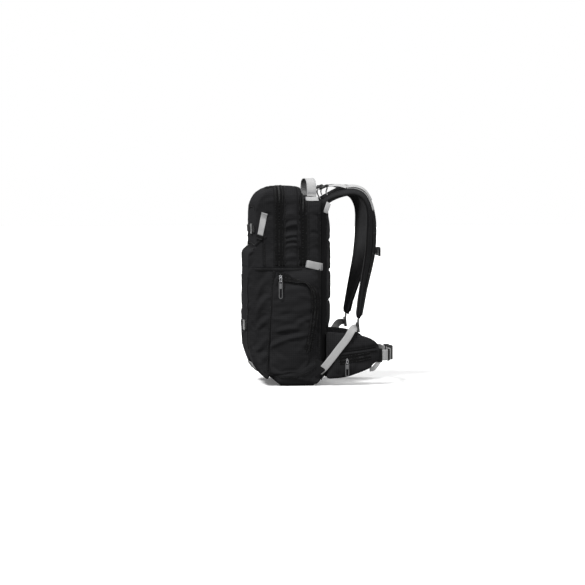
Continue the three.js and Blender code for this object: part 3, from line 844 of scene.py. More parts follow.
def softened(name, node, body, slot, material, width=0.0007, segments=2):
    """The CAD node's own shape with its edges rounded, standing for the node."""
    bm = bmesh.new()
    bm.from_mesh(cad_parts[node].data)
    bmesh.ops.remove_doubles(bm, verts=bm.verts, dist=1e-6)
    bmesh.ops.dissolve_limit(bm, angle_limit=0.02, verts=bm.verts, edges=bm.edges)
    sharp = [e for e in bm.edges if len(e.link_faces) == 2 and e.calc_face_angle(0.0) > 0.35]
    bmesh.ops.bevel(
        bm, geom=sharp, offset=width, segments=segments, profile=0.7, affect="EDGES", clamp_overlap=True
    )
    mesh = baked(name, bm)
    shade_smooth(mesh)
    made = piece(name, mesh, body, slot, material)
    step = made.modifiers.new("shading", "WEIGHTED_NORMAL")
    step.keep_sharp = True
    apply_modifiers(made)
    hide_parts(node)
    return made


# ---------------------------------------------------------------- zips, seams and tabs on the bag
FLAP_BODY, FRONT_BODY, PACK_BODY = "main_flap", "front_flap", "pack"


def build_bag_zips():
    front, front_out = over_crown(SKIN, FLAP_ZIP_Y, SPLIT_Z + 4 * MM)
    tapes = [zip_half("front_zip_rear", front, front_out, FLAP_BODY, 1)]
    zip_half("front_zip_front", front, front_out, FRONT_BODY, -1)
    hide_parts("front_zip")
    main, main_out = over_crown(SKIN, MAIN_SEAM_Y, SPLIT_Z + 4 * MM)
    rear = zip_half("main_zip_rear", main, main_out, PACK_BODY, 1)
    zip_half("main_zip_front", main, main_out, FLAP_BODY, -1)
    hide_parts("main_zip")
    for name, y, body in (
        ("flap_zip_welt", FLAP_ZIP_Y + 15 * MM, FLAP_BODY),
        ("front_zip_welt", FLAP_ZIP_Y - 13 * MM, FRONT_BODY),
        ("main_zip_welt", MAIN_ZIP_Y - 13 * MM, FLAP_BODY),
        ("rear_zip_welt", MAIN_ZIP_Y + 15 * MM, PACK_BODY),
    ):
        path, out = over_crown(SKIN, y, SPLIT_Z + 4 * MM)
        seam(name, path, out, body, 0.006)


def build_bag_seams():
    for side_name, sign in SIDES:
        rows = (
            ("gusset_seam", PACK_BODY, [(22, 322), (-20, 321), (-60, 320), (-90, 320), (-104, 320)]),
            ("front_seam", PACK_BODY, [(-53, 318), (-56, 292), (-62, 200), (-70, 90), (-72, 40)]),
            ("boot_seam", PACK_BODY, [(-84, 44), (-50, 30), (-10, 26), (30, 34), (56, 48), (78, 66)]),
            ("rear_seam", PACK_BODY, [(66, 60), (70, 120), (71, 250), (71, 400), (70, 478)]),
            ("flap_front_seam", FRONT_BODY, [(-80, 330), (-81, 362), (-82, 398), (-81, 432)]),
            ("proud_edge", FRONT_BODY, [(-74, 410), (-86, 402), (-100, 390), (-108, 374)]),
        )
        for name, body, points in rows:
            path, out = on_side(SKIN, points, sign, 60)
            seam(f"{name}_{side_name}", path, out, body, 0.0075)
        path, out = on_side(SKIN, [(79, 24), (80, 120), (80, 300), (80, 470), (76, 500)], sign, 90)
        piping(f"back_piping_{side_name}", path, out, PACK_BODY)


def build_tabs():
    for side_name, sign in SIDES:
        path, out = on_side(SKIN, [(34, 336.5), (81, 326)], sign, 14)
        tab = patch_of_webbing(f"side_tab_{side_name}_webbing", path, out, PACK_BODY, LOADED_WEBBING)
        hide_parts(f"side_tab_{side_name}")
        lean = math.radians(31)
        aside, aloft = sign * math.cos(lean), math.sin(lean)
        starts = [(RAY_START * aside, y, CROWN_Z + RAY_START * aloft) for y in np.linspace(0.034, 0.070, 14)]
        path, out = cast(SKIN, starts, [(-aside, 0, -aloft)] * 14)
        tab = patch_of_webbing(f"upper_tab_{side_name}_webbing", path, out, PACK_BODY, 0.014)
        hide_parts(f"upper_tab_{side_name}")
        path, out = on_side(SKIN, [(-79, 476), (-85, 444), (-91.5, 407)], sign, 22)
        strip = patch_of_webbing(f"flap_strap_{side_name}", path, out, FRONT_BODY, 0.017)
        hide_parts(f"flap_side_strap_{side_name}")
        loop, loop_out = on_side(SKIN, [(-89.5, 415), (-92.5, 402)], sign, 6)
        name = f"flap_loop_{side_name}"
        patch_of_webbing(name, loop, loop_out, FRONT_BODY, 0.021, BLACK_WEBBING, 0.0022, 0.0022)


def build_front_straps():
    rows = (
        ("upper_board_strap", FRONT_BODY, 98, 430, BLACK_WEBBING, 0.020),
        ("lower_board_strap", PACK_BODY, 80, 162, BLACK_WEBBING, 0.020),
        ("base_board_strap", PACK_BODY, 62, 47, GREY_WEBBING, 0.025),
    )
    for node, body, half, z, material, width in rows:
        path, out = on_front(SKIN, [(-half, z), (-half / 2, z), (0, z), (half / 2, z), (half, z)], 60)
        path = path + [0, -0.0004, 0]
        strap = patch_of_webbing(node + "_webbing", path, out, body, width, material)
        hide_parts(node)
    for name, points, body in (
        ("panel_seam_right", [(84, 300), (86, 200), (80, 100)], PACK_BODY),
        ("panel_seam_left", [(-84, 300), (-86, 200), (-80, 100)], PACK_BODY),
        ("flap_panel_seam", [(-92, 388), (-40, 392), (0, 393), (40, 392), (92, 388)], FRONT_BODY),
        ("crown_seam", [(-88, 486), (-40, 492), (40, 492), (88, 486)], FRONT_BODY),
    ):
        path, out = on_front(SKIN, points, 70)
        seam(name, path, out, body, 0.0075)


build_bag_zips()
build_bag_seams()
build_tabs()
build_front_straps()


# ---------------------------------------------------------------- padded pieces
def puffed(name, node, body, material, hold, voxel=0.0042, cap=0.006, shape=None):
    """A cloth-blown copy of a soft CAD node. hold(co, normal) marks the sewn edges."""
    obj = remeshed(name, ((node, lambda co: True),), voxel, 2, 0.0008)
    co = verts_of(obj.data)
    inflate(obj, hold(co, normals_of(obj.data)), cap)
    subdivide(obj)
    if shape is not None:
        co, normal = verts_of(obj.data), normals_of(obj.data)
        set_verts(obj.data, co + normal * shape(co, normal)[:, None])
    shade_smooth(obj.data)
    obj.data.materials.clear()
    obj.data.materials.append(material)
    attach(obj, body)
    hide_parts(node)
    return obj


POCKET_CREASES = (
    # (y, z) start and end, height and width, in millimetres
    ((-66, 110), (24, 139), 4.8, 7),
    ((-50, 150), (8, 160), 3.4, 7),
    ((-60, 186), (-20, 182), 1.2, 8),
    ((6, 168), (44, 186), 2.8, 7),
    ((0, 205), (46, 214), 1.4, 9),
    ((-30, 262), (30, 268), 1.2, 8),
    ((14, 250), (48, 236), 1.4, 7),
    ((-50, 84), (-30, 70), 1.2, 8),
    ((10, 96), (36, 118), 1.6, 7),
    ((-40, 226), (6, 236), 0.9, 10),
)


def build_side_pockets():
    for side_name, sign in SIDES:
        node = f"side_pocket_{side_name}"
        low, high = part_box(node)
        face = max(abs(low[0]), abs(high[0]))

        def hold(co, normal):
            return (abs(co[:, 0]) < face - 0.0035) | (abs(normal[:, 0]) < 0.75)

        def folds(co, normal):
            outward = smoothstep(0.5, 0.9, normal[:, 0] * sign)
            drop = 0 if sign > 0 else 0.007
            lift = crease_field(co[:, 1], co[:, 2] + drop, in_metres(POCKET_CREASES))
            return outward * lift + 0.0007 * noise_field(co, 34.0, 5 + sign)

        name = f"side_pocket_{side_name}_panel"
        tree = tree_of(puffed(name, node, PACK_BODY, RIPSTOP, hold, cap=0.0075, shape=folds))
        track = [(-43, 302), (-2, 293.5), (34, 285), (51, 266), (57, 240), (57, 205), (50, 150), (39, 98)]
        path, out = on_side(tree, track, sign, 120)
        tapes = list(coil_zip(f"side_zip_{side_name}_coil", path, out, PACK_BODY))
        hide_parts(f"side_zip_{side_name}")
        welt = [(y - 8 if y > 40 else y - 3, z - 9) for y, z in track]
        path, out = on_side(tree, welt, sign, 120)
        seam(f"side_zip_welt_{side_name}", path, out, PACK_BODY, 0.006)


def build_back():
    """Cover over the frame sheet, air mesh pads with channels, and the lumbar pad."""
    half, low, high = 0.127, 0.016, 0.500
    columns, rows = 64, 120
    verts = []
    for z in np.linspace(low, high, rows):
        for x in np.linspace(-half, half, columns):
            edge = min(half - abs(x), z - low, high - z)
            dip = 0.0135 * (1 - smoothstep(0.0, 0.016, edge))
            verts.append((x, BACK_Y + 0.0072 - dip, z))
    mesh = mesh_from("back_cover", verts, turned(quads(rows, columns, around=False)))
    cover = thicken(new_object("back_cover", mesh, PACKCLOTH), 0.0008)
    face_outwards(cover.data)
    shade_smooth(cover.data)
    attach(cover, PACK_BODY)

    def hold_pad(co, normal):
        return (co[:, 1] < BACK_Y + 0.0085) | (normal[:, 1] < 0.3)

    def channels(axis, places, seed):
        def shape(co, normal):
            rear = smoothstep(0.3, 0.8, normal[:, 1])
            groove = sum(np.exp(-(((co[:, axis] - place) / 0.0042) ** 2)) for place in places)
            return -0.0042 * rear * groove + 0.0004 * noise_field(co, 40.0, seed)

        return shape

    level, upright = channels(2, (0.235, 0.318, 0.400), 9), channels(0, (-0.036, 0.036), 12)
    for node, shape in (("back_pad_right", level), ("back_pad_left", level), ("lumbar_pad", upright)):
        name = node + "_mesh"
        puffed(name, node, PACK_BODY, AIR_MESH, hold_pad, 0.0046, shape=shape)


build_side_pockets()
build_back()


# ---------------------------------------------------------------- hip belt
def build_hip_wings():
    for side_name, sign in SIDES:
        body = f"hip_wing_{side_name}"

        def hold(co, normal):
            return abs(normal[:, 0]) < 0.55

        def folds(co, normal):
            y, z = co[:, 1], co[:, 2]
            outward = smoothstep(0.3, 0.8, normal[:, 0] * sign)
            band = np.exp(-(((z - 0.094 - (y - 0.13) * 0.13) / 0.006) ** 2)) * smoothstep(0.118, 0.132, y)
            pleats = sum(
                np.exp(-(((y - y0 - (0.150 - z) * 0.35) / 0.0045) ** 2)) for y0 in (0.150, 0.168, 0.186)
            ) * smoothstep(0.100, 0.125, z)
            sag = np.exp(-(((z - 0.045) / 0.016) ** 2)) * smoothstep(0.125, 0.15, y)
            lift = outward * (-0.0034 * band - 0.0036 * pleats + 0.0026 * sag)
            return lift + 0.0009 * noise_field(co, 38.0, 20 + sign)

        wing = puffed(f"{body}_pad", body, body, RIPSTOP, hold, shape=folds)
        tree = tree_of(wing)
        for name, points in (
            ("hip_band", [(126, 94), (160, 97), (200, 102), (228, 106)]),
            ("hip_pocket_seam", [(122, 84), (160, 88), (200, 93), (232, 96)]),
        ):
            path, out = on_side(tree, points, sign, 60)
            piping(f"{name}_{side_name}", path, out, body, 0.0017)
        path, out = on_side(tree, [(124, 69.5), (150, 73.5), (192, 80), (212, 84)], sign, 50)
        tapes = list(coil_zip(f"hip_zip_{side_name}_coil", path, out, body))
        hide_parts(f"hip_zip_{side_name}")


build_hip_wings()


# ---------------------------------------------------------------- shoulder straps
STRAP_ROUTE = (
    (58, 89, 500),
    (61, 112, 516),
    (65, 140, 530),
    (69, 168, 537),
    (73, 196, 528),
    (76, 214, 502),
    (77, 222, 465),
    (78, 222, 392),
    (82, 216, 344),
    (90, 206, 300),
    (102, 193, 244),
    (114, 181, 186),
)
STRAP_HALF = 0.0078  # half the foam's thickness


def strap_line(sign):
    """The shoulder strap's centre line and the normals of its outer face, with the CAD strap's route and
    twist."""
    count = 110
    path = smooth_path(np.array(STRAP_ROUTE) * MM, count)
    tangent = unit(np.gradient(path, axis=0))
    side = unit(np.array([1.0, 0, 0]) - tangent * tangent[:, :1])
    shares = np.linspace(0, 1, count)
    tip = 1 - smoothstep(0.88, 1.0, shares)
    twist = (0.34 * smoothstep(0.03, 0.2, shares) + 0.14 * smoothstep(0.3, 0.5, shares) * tip)[:, None]
    side = side * np.cos(twist) + np.cross(tangent, side) * np.sin(twist)
    out = np.cross(side, tangent)
    return path * [sign, 1, 1], out * [sign, 1, 1]


def strap_width(share):
    bow = 8 * math.sin(math.pi * share) - 34 * float(smoothstep(0.6, 1.0, share))
    return (62 + bow) * MM


def strap_body_section(share):
    """Crowned outer face, puffed inner face with two channels, and thin edges."""
    half = strap_width(share) / 2
    ends = float(smoothstep(-0.01, 0.03, share) * smoothstep(1.012, 0.975, share))
    ring = []
    for k in range(44):
        angle = 2 * math.pi * k / 44
        c, s = math.cos(angle), math.sin(angle)
        across = math.copysign(abs(c) ** 0.62, c)
        rise = math.copysign(abs(s) ** 0.7, s)
        root = 1 + 0.2 * (1 - float(smoothstep(0.02, 0.2, share)))
        depth = STRAP_HALF * (0.98 if s > 0 else 1.0) * root
        channel = sum(math.exp(-(((across - x) / 0.07) ** 2)) for x in (-0.42, 0.42))
        depth *= 1 - (0.10 if s > 0 else 0.20) * channel
        ring.append((across * half, rise * depth * (0.35 + 0.65 * ends)))
    return ring


def cut_path(path, out, start, stop, count):
    """The stretch of a path between two shares, evenly spaced again."""
    low, high = int(start * (len(path) - 1)), int(round(stop * (len(path) - 1)))
    return evened(path[low : high + 1], out[low : high + 1], count)


def beside(path, out, across):
    """The path moved sideways across its face, by a number or one number for each point."""
    side = frames_of(path, out)[1]
    return path + side * np.broadcast_to(np.asarray(across, dtype=float), (len(path),))[:, None]


def build_shoulder_straps():
    for side_name, sign in SIDES:
        body = f"shoulder_strap_{side_name}"
        path, out = strap_line(sign)
        mesh = sweep(f"{body}_pad", path, out, strap_body_section)
        co, normal = verts_of(mesh), normals_of(mesh)
        set_verts(mesh, co + normal * (0.0007 * noise_field(co, 45.0, 30))[:, None])
        pad = new_object(f"{body}_pad", mesh, RIPSTOP, AIR_MESH)
        for face in mesh.polygons:
            ring = np.array([mesh.vertices[i].co for i in face.vertices]).mean(axis=0)
            nearest = int(np.argmin(np.linalg.norm(path - ring, axis=1)))
            face.material_index = int(np.dot(ring - path[nearest], out[nearest]) < 0.0)
        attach(pad, body)
        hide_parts(body)
        shares = np.linspace(0, 1, len(path))
        halves = np.array([strap_width(s) / 2 for s in shares])
        for edge, way in (("outer", 1), ("inner", -1)):
            rim = beside(path, out, way * (halves - 0.0008))
            name = f"{body}_{edge}_binding"
            piece(name, sweep(name, rim, out, tube_section(0.0030, 0.8)), body, "ripstop", BINDING)
            row = beside(path, out, way * (halves - 0.0060))
            stitch_row(f"{body}_{edge}_stitches", row, out, body, 0.0, STRAP_HALF * 0.72)
        rail, rail_out = cut_path(path, out, 0.42, 0.985, 80)
        mesh = sweep(f"{body}_rail", rail, rail_out, tape_section(0.020, 0.0015, STRAP_HALF - 0.0002, 0.0003))
        piece(f"{body}_rail", mesh, body, "black_webbing", BLACK_WEBBING)
        for edge in (-0.0085, 0.0085):
            name = f"{body}_rail_stitches_{'ab'[edge > 0]}"
            stitch_row(name, rail, rail_out, body, edge, STRAP_HALF + 0.0014)
        for k, share in enumerate((0.50, 0.62, 0.74, 0.86, 0.95)):
            name = f"{body}_rail_tack_{k}"
            bar_tack(name, path, out, share, body, 0.020, STRAP_HALF + 0.0015, BLACK_THREAD)


# Short ends of the load lifters, from the lock down to the bag and hanging free
LIFTER_ANCHOR = (
    (0.055, 0.0835, 0.5415), (0.055, 0.0775, 0.5380), (0.055, 0.0765, 0.5300), (0.056, 0.0850, 0.5120)
)
LIFTER_TAIL = (
    (0.055, 0.0975, 0.5490), (0.055, 0.1010, 0.5440), (0.0545, 0.0985, 0.5330), (0.054, 0.1010, 0.5230)
)


def build_load_lifters():
    """Grey webbing from a ladder lock at the top of the pack to the strap's outer face."""
    for side_name, sign in SIDES:
        body = f"shoulder_strap_{side_name}"
        path, out = strap_line(sign)
        sewn, sewn_out = cut_path(path, out, 0.17, 0.37, 40)
        line = sewn + sewn_out * (STRAP_HALF + 0.0003)
        name = f"load_lifter_{side_name}_sewn"
        strip = patch_of_webbing(name, line, sewn_out, body, LOADED_WEBBING, lift=0.0)
        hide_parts(f"load_lifter_{side_name}")
        upper, upper_out = cut_path(path, out, 0.17, 0.31, 40)
        lifted = 0.0028 + 0.0022 * np.sin(np.linspace(0, math.pi, 40))
        line = upper + upper_out * (STRAP_HALF + lifted)[:, None]
        patch_of_webbing(f"load_lifter_{side_name}_double", line, upper_out, body, 0.0195, lift=0.0)
        start = upper[0] + upper_out[0] * (STRAP_HALF + 0.0028)
        corners = ((0.066, 0.134, 0.5505), (0.060, 0.112, 0.5490), (0.055, 0.094, 0.5462))
        free = smooth_path([start] + [(sign * x, y, z) for x, y, z in corners], 24)
        lean = np.linspace(0.42, 0.12, 24)
        up = unit(np.stack([sign * lean, np.full(24, -0.05), np.ones(24)], axis=1))
        patch_of_webbing(f"load_lifter_{side_name}_free", free, up, body, 0.0195, lift=-0.0009, bars=False)
        centre = (sign * 0.055, 0.0925, 0.5455)
        ladder_lock(f"load_lifter_{side_name}_lock", centre, (0, 1, 0.42), 0.027, 0.026, body, 0.0062)
        for end, rides_on, way, corners in (
            ("anchor", PACK_BODY, 1.0, LIFTER_ANCHOR),
            ("tail", body, -1.0, LIFTER_TAIL),
        ):
            line = smooth_path([(sign * x, y, z) for x, y, z in corners], 20)
            back = unit(np.cross(unit(np.gradient(line, axis=0)), repeated([way, 0, 0], 20)))
            name = f"load_lifter_{side_name}_{end}"
            patch_of_webbing(name, line, back, rides_on, 0.019, GREY_WEBBING, bars=False)


def ladder_lock(name, centre, along, width, length, body, thickness=0.0045):
    """A moulded frame with three bars, the middle one raised, that webbing threads through."""
    bm = bmesh.new()
    rim = 0.0032
    bars = [(-width / 2 + rim / 2, 0, rim, length), (width / 2 - rim / 2, 0, rim, length)]
    bars += [(0, y, width - rim, rim) for y in (-length / 2 + rim / 2, length / 2 - rim / 2)]
    for x, y, wide, long in bars + [(0, 0, width - rim, rim * 1.15)]:
        lift = thickness * 0.35 if (x, y) == (0, 0) else 0.0
        for v in bmesh.ops.create_cube(bm, size=1.0)["verts"]:
            v.co = Vector((x + v.co.x * wide, y + v.co.y * long, lift + v.co.z * thickness))
    bmesh.ops.bevel(bm, geom=bm.edges[:], offset=0.0008, segments=2, affect="EDGES", clamp_overlap=True)
    mesh = baked(name, bm)
    shade_smooth(mesh)
    along = Vector(along).normalized()
    side = Vector((1, 0, 0))
    up = side.cross(along).normalized()
    turn = Matrix((side, along, up)).transposed().to_4x4()
    mesh.transform(Matrix.Translation(Vector(centre)) @ turn)
    return piece(name, mesh, body, "acetal", ACETAL)


def build_lower_webbing():
    """Grey webbing from the bag's lower corner over the hip wing to the strap's ladder lock."""
    low_half = ((137, 83, 50), (142.8, 101, 73), (144.3, 124, 103))
    route = np.array(low_half + ((144.6, 146, 131), (142.6, 157, 149), (135, 165, 158)))
    for side_name, sign in SIDES:
        points = [(sign * x, y, z) for x, y, z in route * MM]
        last = (sign * 0.1235, 0.1765, 0.1605)
        path = smooth_path([(sign * 0.1275, 0.071, 0.0375)] + points + [last], 60)
        across = np.array([0.1 * sign, 0.72, -0.69])
        tangent = unit(np.gradient(path, axis=0))
        out = unit(np.cross(tangent, repeated(across, 60))) * sign
        section = tape_section(LOADED_WEBBING, 0.0018, -0.0009)
        mesh = sweep(f"lower_webbing_{side_name}_strip", path, out, section)
        strip = new_object(f"lower_webbing_{side_name}_strip", mesh, GREY_WEBBING)
        tuple(points[1])
        tuple(points[-1])
        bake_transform(strip)
        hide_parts(f"lower_webbing_{side_name}")
        name = f"lower_webbing_{side_name}_tack"
        bar_tack(name, path, out, 0.07, PACK_BODY, LOADED_WEBBING, 0.0009, GREY_THREAD)
        wing_tab(side_name, sign)
        name = f"ladder_lock_{side_name}"
        softened(name + "_moulded", name, f"shoulder_strap_{side_name}", "acetal", ACETAL, 0.0008)


def wing_tab(side_name, sign):
    """Triangle of fabric sewn into the bag's lower rear corner; the lower webbing is sewn to it."""
    corners = ((0.1300, 0.052, 0.016), (0.1300, 0.052, 0.078), (0.1368, 0.093, 0.0615), (0.1368, 0.086, 0.042))
    low, high, tip_high, tip_low = (np.array((sign * x, y, z)) for x, y, z in corners)
    rows, columns = 10, 8
    verts = []
    for r in range(rows):
        for c in range(columns):
            u, v = r / (rows - 1), c / (columns - 1)
            edge_low = low * (1 - u) + tip_low * u
            edge_high = high * (1 - u) + tip_high * u
            bow = np.array([sign * 0.0012 * math.sin(math.pi * v), 0, 0])
            verts.append(edge_low * (1 - v) + edge_high * v + bow)
    name = f"webbing_tab_{side_name}"
    mesh = mesh_from(name, verts, turned(quads(rows, columns, around=False)))
    tab = thicken(new_object(name, mesh, PACKCLOTH), 0.0016)
    subdivide(tab)
    shade_smooth(tab.data)
    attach(tab, PACK_BODY)


def build_yoke():
    """Bolster that closes the top of the back panel and holds the strap roots, with a grey tab at each
    end."""
    turns = [2 * math.pi * k / 28 for k in range(28)]
    tab_corners = (
        (0.1060, 0.0995, 0.5010), (0.1130, 0.0965, 0.4950), (0.1165, 0.0925, 0.4850), (0.1170, 0.0885, 0.4750)
    )

    def section(share):
        ends = 1 - 0.45 * abs(2 * share - 1) ** 6
        return [(math.cos(a) * 0.0185 * ends, math.sin(a) * 0.0105 * ends) for a in turns]

    for side_name, sign in SIDES:
        path = smooth_path([(sign * x, 0.0895, 0.494) for x in (0.016, 0.040, 0.068, 0.110)], 40)
        out = repeated([0, 1.0, 0.25], 40)
        mesh = sweep(f"yoke_{side_name}", path, out, section)
        co, normal = verts_of(mesh), normals_of(mesh)
        set_verts(mesh, co + normal * (0.0008 * noise_field(co, 60.0, 31))[:, None])
        bolster = piece(f"yoke_{side_name}", mesh, PACK_BODY, "ripstop", PACKCLOTH)
        seam_line = path + np.array([0, 0.0098, 0.0024])
        stitch_row(f"yoke_{side_name}_stitches", seam_line, out, PACK_BODY, 0.0, 0.0006)
        tab = smooth_path([(sign * x, y, z) for x, y, z in tab_corners], 16)
        face = repeated([sign * 1.0, 0.35, 0.2], 16)
        patch_of_webbing(f"yoke_tab_{side_name}", tab, face, PACK_BODY, 0.014, GREY_WEBBING, 0.0, bars=False)


# ---------------------------------------------------------------- handle, belt and sternum webbing
def build_handle():
    """Folded webbing arch with a lining under it, stitched along both edges and tacked near both feet."""
    low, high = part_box("grab_handle")
    y = (low[1] + high[1]) / 2
    feet = REAR_TOP - 0.0045
    half = [(0.0735, 0.522), (0.0712, 0.540), (0.060, 0.5585), (0.032, 0.5675)]
    points = [(0.0765, y, feet)] + [(x, y, z) for x, z in half] + [(0, y, 0.5690)]
    points += [(-x, y, z) for x, _, z in reversed(points[:-1])]
    path = smooth_path(points, 90)
    out = unit(np.stack([path[:, 0], np.zeros(90), path[:, 2] - 0.500], axis=1))
    band = sweep("grab_handle_band", path, out, tape_section(0.0265, 0.0021, -0.0011))
    handle = piece("grab_handle_band", band, "grab_handle", "grey_webbing", GREY_WEBBING)
    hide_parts("grab_handle")
    lining, lining_out = cut_path(path, out, 0.02, 0.98, 80)
    inner = sweep("grab_handle_lining", lining, lining_out, tape_section(0.0235, 0.0016, -0.0027))
    # The lining takes the darker copy of the grey webbing: painted shade under the arch.
    piece("grab_handle_lining", inner, "grab_handle", "grey_webbing", SHADED_GREY_WEBBING)
    for edge in (-0.0108, 0.0108):
        name = f"grab_handle_stitches_{'ab'[edge > 0]}"
        stitch_row(name, path, out, "grab_handle", edge, 0.0011, GREY_THREAD)
    for side_name, share in (("right", 0.07), ("left", 0.93)):
        name = f"grab_handle_tack_{side_name}"
        bar_tack(name, path, out, share, "grab_handle", 0.0265, 0.0010, GREY_THREAD)


def build_belt():
    """Belt webbing from each wing's tip to the buckle, with a keeper, a cuff and an adjuster."""
    low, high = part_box("belt_webbing_right")
    belt_z = (low[2] + high[2]) / 2
    belt_y = high[1] - 0.0011
    cuff_corners = ((0.1262, 0.2300, 0.001), (0.1252, 0.2405, 0.0), (0.1235, 0.2455, 0.0))
    for side_name, sign in SIDES:
        body = f"hip_wing_{side_name}"
        inner = 0.012 if sign > 0 else 0.018
        route = [(124.6, 236), (124.0, 246), (119.5, 258), (106, 270)]
        points = [(sign * x * MM, y * MM, belt_z) for x, y in route]
        across = ((0.084, 0.0006), (0.064, 0.0), (inner + 0.02, 0.0), (inner, 0.0))
        points += [(sign * x, belt_y - drop, belt_z) for x, drop in across]
        path = smooth_path(points, 80)
        tangent = unit(np.gradient(path, axis=0))
        out = np.cross(tangent, repeated([0, 0, 1.0], 80)) * -sign
        strip = patch_of_webbing(f"belt_webbing_{side_name}_strip", path, out, body, 0.0300, lift=-0.0009)
        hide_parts(f"belt_webbing_{side_name}")
        keeper, keeper_out = cut_path(path, out, 0.24, 0.31, 8)
        name = f"belt_keeper_{side_name}"
        patch_of_webbing(name, keeper, keeper_out, body, 0.0335, BLACK_WEBBING, -0.0016, 0.0036, False)
        cuff = smooth_path([(sign * x, y, belt_z + rise) for x, y, rise in cuff_corners], 12)
        face = repeated([sign, 0.12, 0], 12)
        name = f"belt_cuff_{side_name}"
        patch_of_webbing(name, cuff, face, body, 0.038, BLACK_WEBBING, 0.0006, 0.0026, False)
    under = (
        (0.1262, 0.2110, 0.0440), (0.1275, 0.2200, 0.0455), (0.1265, 0.2305, 0.0555), (0.1245, 0.2400, 0.0690)
    )
    for side_name, sign in SIDES:
        tail = smooth_path([(sign * x, y, z) for x, y, z in under], 20)
        face = repeated([sign * 1.0, 0.1, 0], 20)
        name, body = f"belt_adjuster_{side_name}", f"hip_wing_{side_name}"
        patch_of_webbing(name, tail, face, body, 0.013, GREY_WEBBING, 0.0, bars=False)
    softened("belt_buckle_socket", "belt_buckle_female", "hip_wing_right", "acetal", ACETAL, 0.0016, 3)
    softened("belt_buckle_prongs", "belt_buckle_male", "belt_buckle_male", "acetal", ACETAL, 0.0011, 3)


def build_sternum():
    for side_name, sign in SIDES:
        node, body = f"sternum_strap_{side_name}", f"sternum_{side_name}"
        softened(f"{node}_clip", node, body, "acetal", ACETAL, 0.0007)
        low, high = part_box(node)
        y, z = low[1] + 0.00175, (low[2] + high[2]) / 2
        inner = 0.010 if sign > 0 else 0.014
        path = np.array([(sign * x, y, z) for x in np.linspace(inner, 0.0845, 24)])
        path[:, 1] += np.sin(np.linspace(0, math.pi, 24)) * 0.0012 * 0.3
        out = repeated([0, 1.0, 0], 24)
        mesh = sweep(f"{node}_webbing", path, out, tape_section(0.0168, 0.0022, -0.0011))
        piece(f"{node}_webbing", mesh, body, "black_webbing", BLACK_WEBBING)
    softened("sternum_buckle_prongs", "sternum_buckle_male", "sternum_buckle_male", "acetal", ACETAL, 0.0007)


def build_front_buckles():
    for level, body in (("upper", FRONT_BODY), ("lower", PACK_BODY)):
        softened(f"{level}_buckle_socket", f"{level}_buckle_female", body, "acetal", ACETAL, 0.0011, 3)
        male = f"{level}_buckle_male"
        softened(f"{level}_buckle_prongs", male, male, "acetal", ACETAL, 0.0008, 2)


# ---------------------------------------------------------------- zip sliders and pulls
def slider_mesh(name, low, high):
    """A zip slider's waisted body, in the box from low to high."""
    bm = bmesh.new()
    centre = [(a + b) / 2 for a, b in zip(low, high)]
    size = [b - a for a, b in zip(low, high)]
    outline = [(-0.5, -0.5), (-0.15, -0.36), (0.5, -0.5), (0.5, 0.5), (-0.15, 0.36), (-0.5, 0.5)]
    rings = []
    for level, scale in ((0.0, 0.86), (0.18, 1.0), (0.42, 1.0), (0.56, 0.86)):
        x = centre[0] + (level - 0.5) * size[0]
        flat = [(centre[1] + v * size[1] * scale, centre[2] + u * size[2] * scale) for u, v in outline]
        rings.append([bm.verts.new((x, y, z)) for y, z in flat])
    for a, b in zip(rings, rings[1:]):
        for k in range(6):
            bm.faces.new((a[k], a[(k + 1) % 6], b[(k + 1) % 6], b[k]))
    bm.faces.new(rings[0])
    bm.faces.new(rings[-1])
    bmesh.ops.recalc_face_normals(bm, faces=bm.faces)
    bmesh.ops.bevel(bm, geom=bm.edges[:], offset=0.0004, segments=2, affect="EDGES", clamp_overlap=True)
    mesh = baked(name, bm)
    shade_smooth(mesh)
    return mesh


def build_pull(prefix, slider_node, pull_node, slider_body, pull_body):
    """Metal slider with a bridge, a link, a moulded grip and a loop of cord."""
    facing = 1 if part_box(slider_node)[1][0] > 0 else -1
    low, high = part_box(slider_node)
    x_out = high[0] if facing > 0 else low[0]
    y, z = (low[1] + high[1]) / 2, (low[2] + high[2]) / 2
    if facing > 0:
        mesh = slider_mesh(prefix + "_slider", low, high)
    else:
        mesh = slider_mesh(prefix + "_slider", (-high[0], low[1], low[2]), (-low[0], high[1], high[2]))
        mesh.transform(Matrix.Diagonal((-1, 1, 1, 1)))
        face_outwards(mesh)
    slider = piece(prefix + "_slider", mesh, slider_body, "acetal", GUNMETAL)
    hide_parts(slider_node)
    arch = ((0.0024, 0.0034), (0.0002, 0.0018), (0.0002, -0.0018), (0.0024, -0.0034))
    bridge = smooth_path([(x_out - facing * drop, y, z + rise) for drop, rise in arch], 14)
    mesh = sweep(prefix + "_bridge", bridge, repeated([facing, 0, 0.0], 14), tube_section(0.0008, 1.6))
    piece(prefix + "_bridge", mesh, slider_body, "acetal", GUNMETAL)
    low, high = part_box(pull_node)
    x, y = (low[0] + high[0]) / 2, (low[1] + high[1]) / 2
    top, bottom = high[2] + 0.001, low[2]
    length = top - bottom
    ring_line("_link", prefix, (x, y), top, top - length * 0.22, 0.0026, 0.0008, pull_body, GUNMETAL)
    ring_line("_cord", prefix, (x, y), top - length * 0.17, bottom + 0.002, 0.0042, 0.0011, pull_body, CORD)
    grip = grip_mesh(prefix + "_grip", (x, y, top - length * 0.42), 0.0042, length * 0.13)
    made = piece(prefix + "_grip", grip, pull_body, "acetal", PULL_GREY)
    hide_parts(pull_node)


